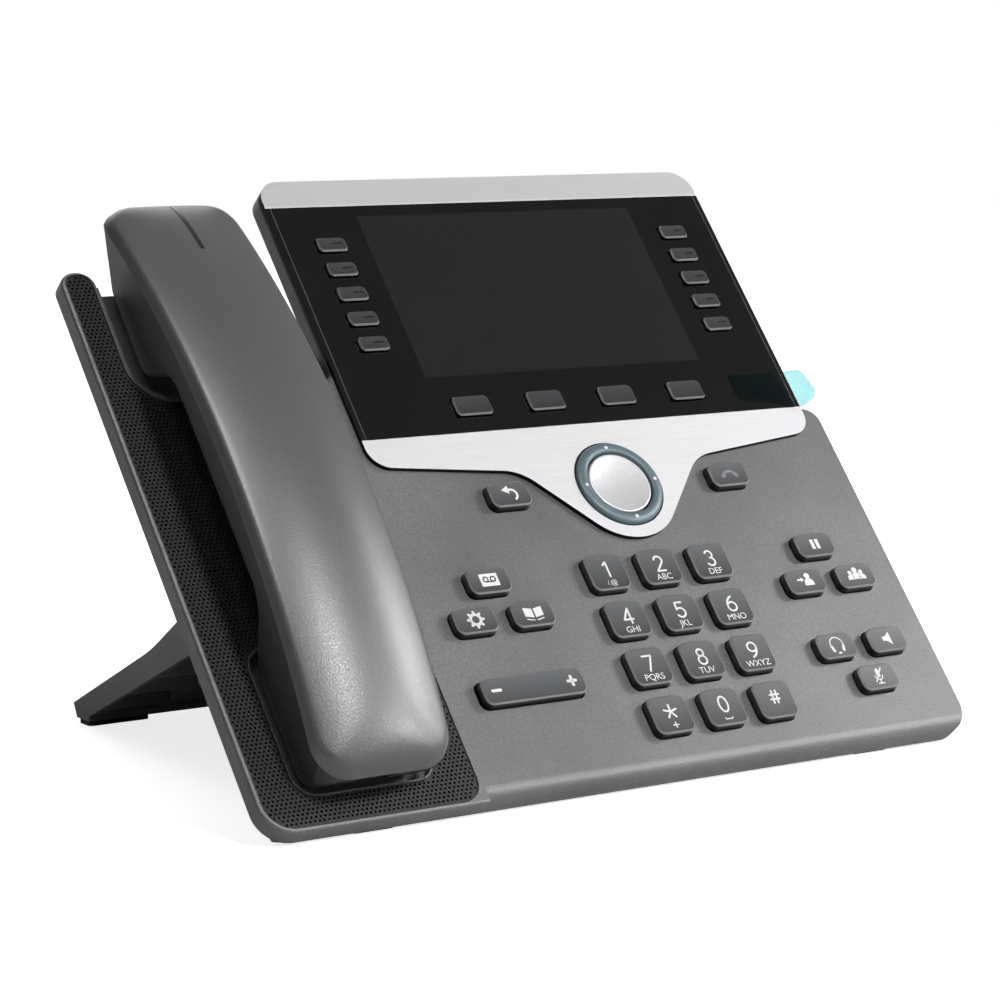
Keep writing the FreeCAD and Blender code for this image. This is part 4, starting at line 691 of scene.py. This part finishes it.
def add_turned(name, node, profile, material):
    """A piece turned about the middle of a node, in its place."""
    matrix = face_matrix(face_top(node))
    shape = bmesh.new()
    rows = []
    for side in range(TURNED_SIDES):
        radial = Matrix.Rotation(math.radians(360 / TURNED_SIDES * side), 3, "Z") @ Vector((1, 0, 0))
        rows.append([shape.verts.new(matrix @ ((radial * radius + Vector((0, 0, height))) * MM))
                     for radius, height in profile])
    join_rows(shape, rows + rows[:1])
    close_skin(shape)
    mesh = mesh_of(shape, name)
    mesh.shade_smooth()
    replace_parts(add_piece(name, mesh, BODY_OF[node], material), node)


def add_ring_dots():
    """Four small domed marks let into the navigation ring, halfway across its band."""
    low, high = face_box("navigation_ring")
    hole_low, hole_high = face_box("select_button")
    middle = face_top("navigation_ring")
    reach = ((high.x - low.x) / 2 - RING_FLANGE * MM + (hole_high.x - hole_low.x) / 2) / 2
    shape = bmesh.new()
    for quarter in range(4):
        angle = quarter * math.pi / 2
        place = middle + Vector((math.cos(angle) * reach, math.sin(angle) * reach, 0))
        dome = bmesh.ops.create_uvsphere(shape, u_segments=16, v_segments=8, radius=DOT_RADIUS * MM)
        matrix = face_matrix(place) @ Matrix.Diagonal((1, 1, DOT_FLATNESS, 1))
        bmesh.ops.transform(shape, matrix=matrix, verts=dome["verts"])
    mesh = mesh_of(shape, "navigation_dots")
    mesh.shade_smooth()
    add_piece("navigation_dots", mesh, "navigation_ring", INK)


# Perforated grille

HOLE_PITCH = 1.5
HOLE_RADIUS = 0.45
HOLE_SIDES = 6
HOLE_MARGIN = 0.05
# Places tried round a hole to keep it clear of the edges
HOLE_PROBES = 8
PANEL_DEPTH = 0.6
# The solid's own sound holes have shorter rims than this, and are drawn anew
SHORTEST_RIM = 60
SOLID_WELD = 0.002
LEVEL_SLACK = 0.01
SQUARE_TO_FACE = 0.99
# What the triangulation is asked for: faces within the outlines, and the nearest that points may come
FACES_WITHIN = 1
NEAREST_POINTS = 1e-7


def length_round(loop):
    return sum((place - loop[index - 1]).length for index, place in enumerate(loop))


def rim_links(shape, level):
    """Neighbours of each point along the edges of the flat faces at a level."""
    links = {}
    for edge in shape.edges:
        flat = [abs(face.normal.dot(OUT)) > SQUARE_TO_FACE
                and abs(face.calc_center_median().dot(OUT) - level) < LEVEL_SLACK * MM
                for face in edge.link_faces]
        if flat.count(True) == 1:
            first, second = edge.verts
            links.setdefault(first.index, []).append(second.index)
            links.setdefault(second.index, []).append(first.index)
    return links


def rim_loops(node):
    """Closed outlines of the long edges of a node's outermost flat face, in face terms."""
    level = face_box(node)[1].z
    shape = bmesh.new()
    shape.from_mesh(NODES[node].data)
    bmesh.ops.remove_doubles(shape, verts=shape.verts, dist=SOLID_WELD * MM)
    links = rim_links(shape, level)
    places = [Vector((vertex.co.dot(ACROSS), vertex.co.dot(UP))) for vertex in shape.verts]
    shape.free()
    loops = []
    while links:
        start = next(iter(links))
        loop = [start]
        step = links[start][0]
        while step != start:
            ahead = links[step]
            following = ahead[0] if ahead[0] != loop[-1] else ahead[1]
            loop.append(step)
            step = following
        for index in loop:
            del links[index]
        loops.append([places[index] for index in loop])
    return [loop for loop in loops if length_round(loop) > SHORTEST_RIM * MM], level


def within(place, loops):
    """Whether a place is inside the outline and outside its cut-outs."""
    crossings = 0
    for loop in loops:
        for index, here in enumerate(loop):
            before = loop[index - 1]
            if (here.y > place.y) != (before.y > place.y):
                at = here.x + (place.y - here.y) * (before.x - here.x) / (before.y - here.y)
                crossings += at > place.x
    return crossings % 2 == 1


def round_places(centre, radius, count):
    """Places spread evenly round a centre."""
    angles = [2 * math.pi * step / count for step in range(count)]
    return [centre + Vector((math.cos(angle), math.sin(angle))) * radius * MM for angle in angles]


def hole_centres(loops):
    """Staggered places over the panel that keep clear of its edges."""
    points = [place for loop in loops for place in loop]
    low = Vector((min(p.x for p in points), min(p.y for p in points)))
    high = Vector((max(p.x for p in points), max(p.y for p in points)))
    pitch = HOLE_PITCH * MM
    row_pitch = pitch * math.sqrt(3) / 2
    for row in range(int((high.y - low.y) / row_pitch) + 1):
        for column in range(int((high.x - low.x) / pitch) + 1):
            centre = low + Vector(((column + 0.5 * (row % 2)) * pitch, row * row_pitch))
            probes = round_places(centre, HOLE_RADIUS + HOLE_MARGIN, HOLE_PROBES)
            if all(within(probe, loops) for probe in probes):
                yield centre


def panel_faces(loops, holes):
    """Points and triangles of the flat panel between its outlines, with its holes left open."""
    points = []
    edges = []
    owners = []
    for number, rim in enumerate(loops + holes):
        first = len(points)
        count = len(rim)
        points.extend(rim)
        edges.extend((first + step, first + (step + 1) % count) for step in range(count))
        owners.extend([number] * count)
    places, _, faces, origins, *_ = delaunay_2d_cdt(points, edges, [], FACES_WITHIN, NEAREST_POINTS)
    kept = []
    for face in faces:
        rims = {owners[origins[corner][0]] for corner in face}
        if len(rims) == 1:
            middle = sum((places[corner] for corner in face), Vector((0, 0))) / len(face)
            if rims.pop() >= len(loops) or not within(middle, loops):
                continue
        kept.append(face)
    return places, kept


def flat_shape(places, faces, level):
    """Flat faces laid at a level of the face, all turned outwards."""
    shape = bmesh.new()
    matrix = face_matrix(Vector((0, 0, level)))
    corners = [shape.verts.new(matrix @ Vector((place.x, place.y, 0))) for place in places]
    for face in faces:
        shape.faces.new([corners[index] for index in face])
    shape.normal_update()
    inward = [face for face in shape.faces if face.normal.dot(OUT) < 0]
    bmesh.ops.reverse_faces(shape, faces=inward)
    return shape


def add_grille():
    """The cradle's panel with its whole field of sound holes, over a black sheet that paints the shade in them."""
    loops, level = rim_loops("speaker_grille")
    holes = [round_places(centre, HOLE_RADIUS, HOLE_SIDES) for centre in hole_centres(loops)]
    shape = flat_shape(*panel_faces(loops, holes), level)
    rim = [edge for edge in shape.edges if edge.is_boundary]
    walls = bmesh.ops.extrude_edge_only(shape, edges=rim)
    sunk = [item for item in walls["geom"] if isinstance(item, bmesh.types.BMVert)]
    bmesh.ops.translate(shape, verts=sunk, vec=-OUT * PANEL_DEPTH * MM)
    piece = add_piece("grille_panel", mesh_of(shape, "grille_panel"), "base", GRILLE)
    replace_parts(piece, "speaker_grille")
    # Painted shade: a black sheet under the holes
    shade_sheet = flat_shape(*panel_faces(loops, []), level - PANEL_DEPTH * MM)
    add_piece("grille_shade_sheet", mesh_of(shade_sheet, "grille_shade_sheet"), "base", HOLE_SHADE_SHEET)


# Handset's outer shell

# The skin keeps this far inside the solid's outline
SKIN_INSET = 0.02
SHELL_LOW, SHELL_HIGH = [corner / MM for corner in face_box("handset_outer_shell")]
SHELL_MIDDLE = (SHELL_LOW.x + SHELL_HIGH.x) / 2
SHELL_HALF = (SHELL_HIGH.x - SHELL_LOW.x) / 2 - SKIN_INSET
SHELL_BOTTOM = SHELL_LOW.y + SKIN_INSET
SHELL_TOP = SHELL_HIGH.y - SKIN_INSET
# The bow's highest place, from the lower end, and its radius
BOW_RISE = 97.7
BOW_MIDDLE = SHELL_LOW.y + BOW_RISE
BOW_RADIUS = 345.0
# Depth of the parting line and height of the crown over it
PARTING_DROP = 8.6
CROWN_HEIGHT = 7.6
CROWN_RADIUS = 48.9
FLANK_STEEPNESS = 3.4
FLANK_FOOT = 0.25
SHOULDER_BLEND = 4.6
END_FOOT = 1.0
END_HEIGHT = 8.7
END_LENGTH = 22.0
END_BLEND = 3.2
CORNER_RADIUS = 11.0
RIM_WIDTH = 2.2
# The cord's notch in the lower end, with upright sides
NOTCH_HALF = 3.9
NOTCH_HEIGHT = 1.3
NOTCH_SIDE = 0.02
# How close together the outline's points are
END_STEP = 1.6
SIDE_STEP = 3
CORNER_STEPS = 15
SHARPEST_BEND = 50
# Shares of the way from the outline to the middle line, close together on the shoulder
RING_SHARES = (0, 0.02, 0.045, 0.08, 0.12, 0.17, 0.23, 0.3, 0.38, 0.47, 0.57, 0.68, 0.79, 0.9, 1.0)
# The message light's lens, which stops short of the tip
LIGHT_HALF = 0.6
LIGHT_LIFT = 0.16
LIGHT_STOP = 3.0
LIGHT_STEP = 0.8


def smooth_least(first, second, blend):
    """The lesser of two heights, with a rounded change from one to the other."""
    share = max(blend - abs(first - second), 0) / blend
    return min(first, second) - share * share * blend / 4


def shell_height(across, up):
    """Height over the parting line: leaning flanks, a low crown and loaf-like ends."""
    side = abs(across) - (SHELL_HALF - CORNER_RADIUS)
    end = abs(up - (SHELL_BOTTOM + SHELL_TOP) / 2) - ((SHELL_TOP - SHELL_BOTTOM) / 2 - CORNER_RADIUS)
    inset = CORNER_RADIUS - math.hypot(max(side, 0), max(end, 0)) - min(max(side, end), 0)
    crown = CROWN_HEIGHT - across * across / (2 * CROWN_RADIUS)
    flank = smooth_least(FLANK_STEEPNESS * max(inset, 0), crown, SHOULDER_BLEND)
    along = min(min(up - SHELL_BOTTOM, SHELL_TOP - up) / END_LENGTH, 1.0)
    end_face = END_FOOT + END_HEIGHT * math.sqrt(max(1 - (1 - along) ** 2, 0))
    return max(smooth_least(flank, end_face, END_BLEND), FLANK_FOOT)


def shell_place(across, up, height):
    """World place of a point at a height over the bowed parting line."""
    bow = BOW_RADIUS - math.sqrt(BOW_RADIUS ** 2 - (up - BOW_MIDDLE) ** 2)
    out = SHELL_HIGH.z - PARTING_DROP - bow + height
    return FACE_TO_WORLD @ (Vector((SHELL_MIDDLE + across, up, out)) * MM)


def evenly(first, last, step):
    """Places from one to another, the last left out."""
    count = max(round(abs(last - first) / step), 1)
    return [first + (last - first) * index / count for index in range(count)]


def shell_outline():
    """Points round the handset in plan, close together at its corners and beside the cord notch."""
    inner = SHELL_HALF - CORNER_RADIUS
    low = SHELL_BOTTOM + CORNER_RADIUS
    high = SHELL_TOP - CORNER_RADIUS
    notch = [side * NOTCH_HALF + gap for side in (-1, 1) for gap in (-NOTCH_SIDE, NOTCH_SIDE)]
    points = [(across, SHELL_BOTTOM) for across in sorted(evenly(-inner, inner, END_STEP) + notch)]
    points += arc(inner, low, CORNER_RADIUS, -90, 0, CORNER_STEPS)
    points += [(SHELL_HALF, up) for up in evenly(low, high, SIDE_STEP)[1:]]
    points += arc(inner, high, CORNER_RADIUS, 0, 90, CORNER_STEPS)
    points += [(across, SHELL_TOP) for across in evenly(inner, -inner, END_STEP)[1:]]
    points += arc(-inner, high, CORNER_RADIUS, 90, 180, CORNER_STEPS)
    points += [(-SHELL_HALF, up) for up in evenly(high, low, SIDE_STEP)[1:]]
    points += arc(-inner, low, CORNER_RADIUS, 180, 270, CORNER_STEPS)[:-1]
    return [Vector(point) for point in points]


def add_handset_shell():
    """The bowed, pillow-like shell that the hand meets, with the notch for the cord."""
    outline = shell_outline()
    first_core = SHELL_BOTTOM + SHELL_HALF
    last_core = SHELL_TOP - SHELL_HALF
    spine = [Vector((0, min(max(place.y, first_core), last_core))) for place in outline]
    shape = bmesh.new()
    lip = [place.lerp(core, RIM_WIDTH / SHELL_HALF) for place, core in zip(outline, spine)]
    rows = [[shape.verts.new(shell_place(place.x, place.y, 0)) for place in lip]]
    for share in RING_SHARES:
        row = []
        for start, core in zip(outline, spine):
            place = start.lerp(core, share)
            height = shell_height(place.x, place.y)
            if share == 0 and start.y == SHELL_BOTTOM and abs(start.x) < NOTCH_HALF:
                height = NOTCH_HEIGHT
            row.append(shape.verts.new(shell_place(place.x, place.y, height)))
        rows.append(row)
    join_rows(shape, rows, first=0)
    close_skin(shape)
    mesh = mesh_of(shape, "handset_outer_skin")
    mesh.shade_smooth()
    mesh.set_sharp_from_angle(angle=math.radians(SHARPEST_BEND))
    piece = add_piece("handset_outer_skin", mesh, "handset", HANDSET)
    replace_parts(piece, "handset_outer_shell")


def add_message_light():
    """The light's narrow lens, just proud of the crown and carried onto the rounded upper end."""
    start = face_box("message_light")[0].y / MM
    shape = bmesh.new()
    rows = []
    for up in evenly(start, SHELL_TOP - LIGHT_STOP, LIGHT_STEP):
        height = shell_height(0, up) + LIGHT_LIFT
        rows.append([shape.verts.new(shell_place(across, up, height))
                     for across in (-LIGHT_HALF, LIGHT_HALF)])
    join_rows(shape, rows)
    mesh = mesh_of(shape, "message_light_lens")
    mesh.shade_smooth()
    piece = add_piece("message_light_lens", mesh, "handset", LENS)
    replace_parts(piece, "message_light")


# Studio

# The paper's faint mottle in millimetres, coarser than its fibres so that it shows
PAPER_MOTTLE = 8.0
# The floor and the lamps are set out in metres and watts
FLOOR_HALF = 2.2
PAPER_GLOW = 0.8
LAMP_AIM = Vector((0, 0, 0.08))
# Each lamp's place, width and power. Sheen strips only draw highlights.
LAMPS = {
    "softbox_front": ((0.13, -1.35, 1.25), 0.34, 16),
    "softbox_right": ((1.05, -0.5, 0.65), 0.4, 8),
    "sheen_strip_left": ((-0.8, -0.62, 1.75), 0.7, 24),
    "sheen_strip_front": ((0.13, -1.45, 1.38), 0.3, 9),
    "sheen_strip_right": ((1.3, -0.62, 0.82), 0.3, 4),
    "sheen_strip_low": ((0.87, -1.2, 0.6), 0.3, 12),
    "softbox_back": ((0.6, 2.2, 2.0), 2.4, 28),
}
# A dark flag stands to the near left of the telephone
FLAG_AIM = (-0.93, -0.37, 0)


def add_floor():
    """A matt paper sweep, burnt out to white in the picture, that lights the telephone as paper does."""
    mesh = bpy.data.meshes.new("floor")
    corners = [(-FLOOR_HALF, -FLOOR_HALF, 0), (FLOOR_HALF, -FLOOR_HALF, 0), (FLOOR_HALF, FLOOR_HALF, 0),
               (-FLOOR_HALF, FLOOR_HALF, 0)]
    mesh.from_pydata(corners, [], [(0, 1, 2, 3)])
    table = add_object("floor", mesh)
    paper = speckled("matt_paper_sweep", "#f4f4f4", "#ececec", PAPER_MOTTLE, 0.8,
                     Emission_Color=linear("#ffffff"))
    tree = paper.node_tree
    seen = add_node(tree, "ShaderNodeLightPath").outputs["Is Camera Ray"]
    glow = add_node(tree, "ShaderNodeMath", {0: seen, 1: PAPER_GLOW}, operation="MULTIPLY")
    link_finish(paper, Emission_Strength=glow.outputs[0])
    mesh.materials.append(paper)


def add_walls():
    """Studio walls: bright low down, grey above and dark at the flag, behind a white backdrop."""
    world = bpy.data.worlds.new("studio")
    bpy.context.scene.world = world
    world.use_nodes = True
    tree = world.node_tree
    aim = add_node(tree, "ShaderNodeTexCoord").outputs["Generated"]
    height = add_node(tree, "ShaderNodeSeparateXYZ", {"Vector": aim})
    sky = add_node(tree, "ShaderNodeValToRGB", {"Fac": height.outputs["Z"]},
                   ((0.12, "#ffffff"), (0.4, "#6a6a6a")))
    near_left = add_node(tree, "ShaderNodeVectorMath", {0: aim, 1: FLAG_AIM}, operation="DOT_PRODUCT")
    flag = add_node(tree, "ShaderNodeValToRGB", {"Fac": near_left.outputs["Value"]},
                    ((0.02, "#ffffff"), (0.45, "#303030")))
    walls = add_node(tree, "ShaderNodeMix",
                     {"Factor": 1.0, "A": sky.outputs["Color"], "B": flag.outputs["Color"]},
                     data_type="RGBA", blend_type="MULTIPLY")
    seen = add_node(tree, "ShaderNodeLightPath").outputs["Is Camera Ray"]
    backdrop = add_node(tree, "ShaderNodeMix", {"Factor": seen, "A": shown(walls), "B": linear("#ffffff")},
                        data_type="RGBA")
    tree.links.new(shown(backdrop), tree.nodes["Background"].inputs["Color"])


def add_lamps():
    for name, (place, width, power) in LAMPS.items():
        light = bpy.data.lights.new(name, "AREA")
        light.shape = "DISK"
        light.size = width
        light.energy = power
        lamp = add_object(name, light)
        lamp.location = place
        lamp.rotation_euler = (LAMP_AIM - Vector(place)).to_track_quat("-Z", "Y").to_euler()
        lamp.visible_diffuse = not name.startswith("sheen_strip")


def add_camera():
    lens = bpy.data.cameras.new("camera")
    lens.lens = CAMERA_LENS
    lens.sensor_width = SENSOR_WIDTH
    lens.clip_start = NEAREST_SEEN
    camera = add_object("camera", lens)
    camera.location = CAMERA_PLACE
    camera.rotation_euler = CAMERA_AIM.to_track_quat("-Z", "Y").to_euler()
    bpy.context.scene.camera = camera


finish_nodes()
add_handset_shell()
add_message_light()
add_caps()
print_legends()
add_turned("navigation_ring_band", "navigation_ring", RING_PROFILE, RING)
add_turned("select_button_dish", "select_button", BUTTON_PROFILE, SELECT)
add_ring_dots()
add_grille()
add_floor()
add_walls()
add_lamps()
add_camera()
bpy.context.scene.view_settings.view_transform = "Standard"
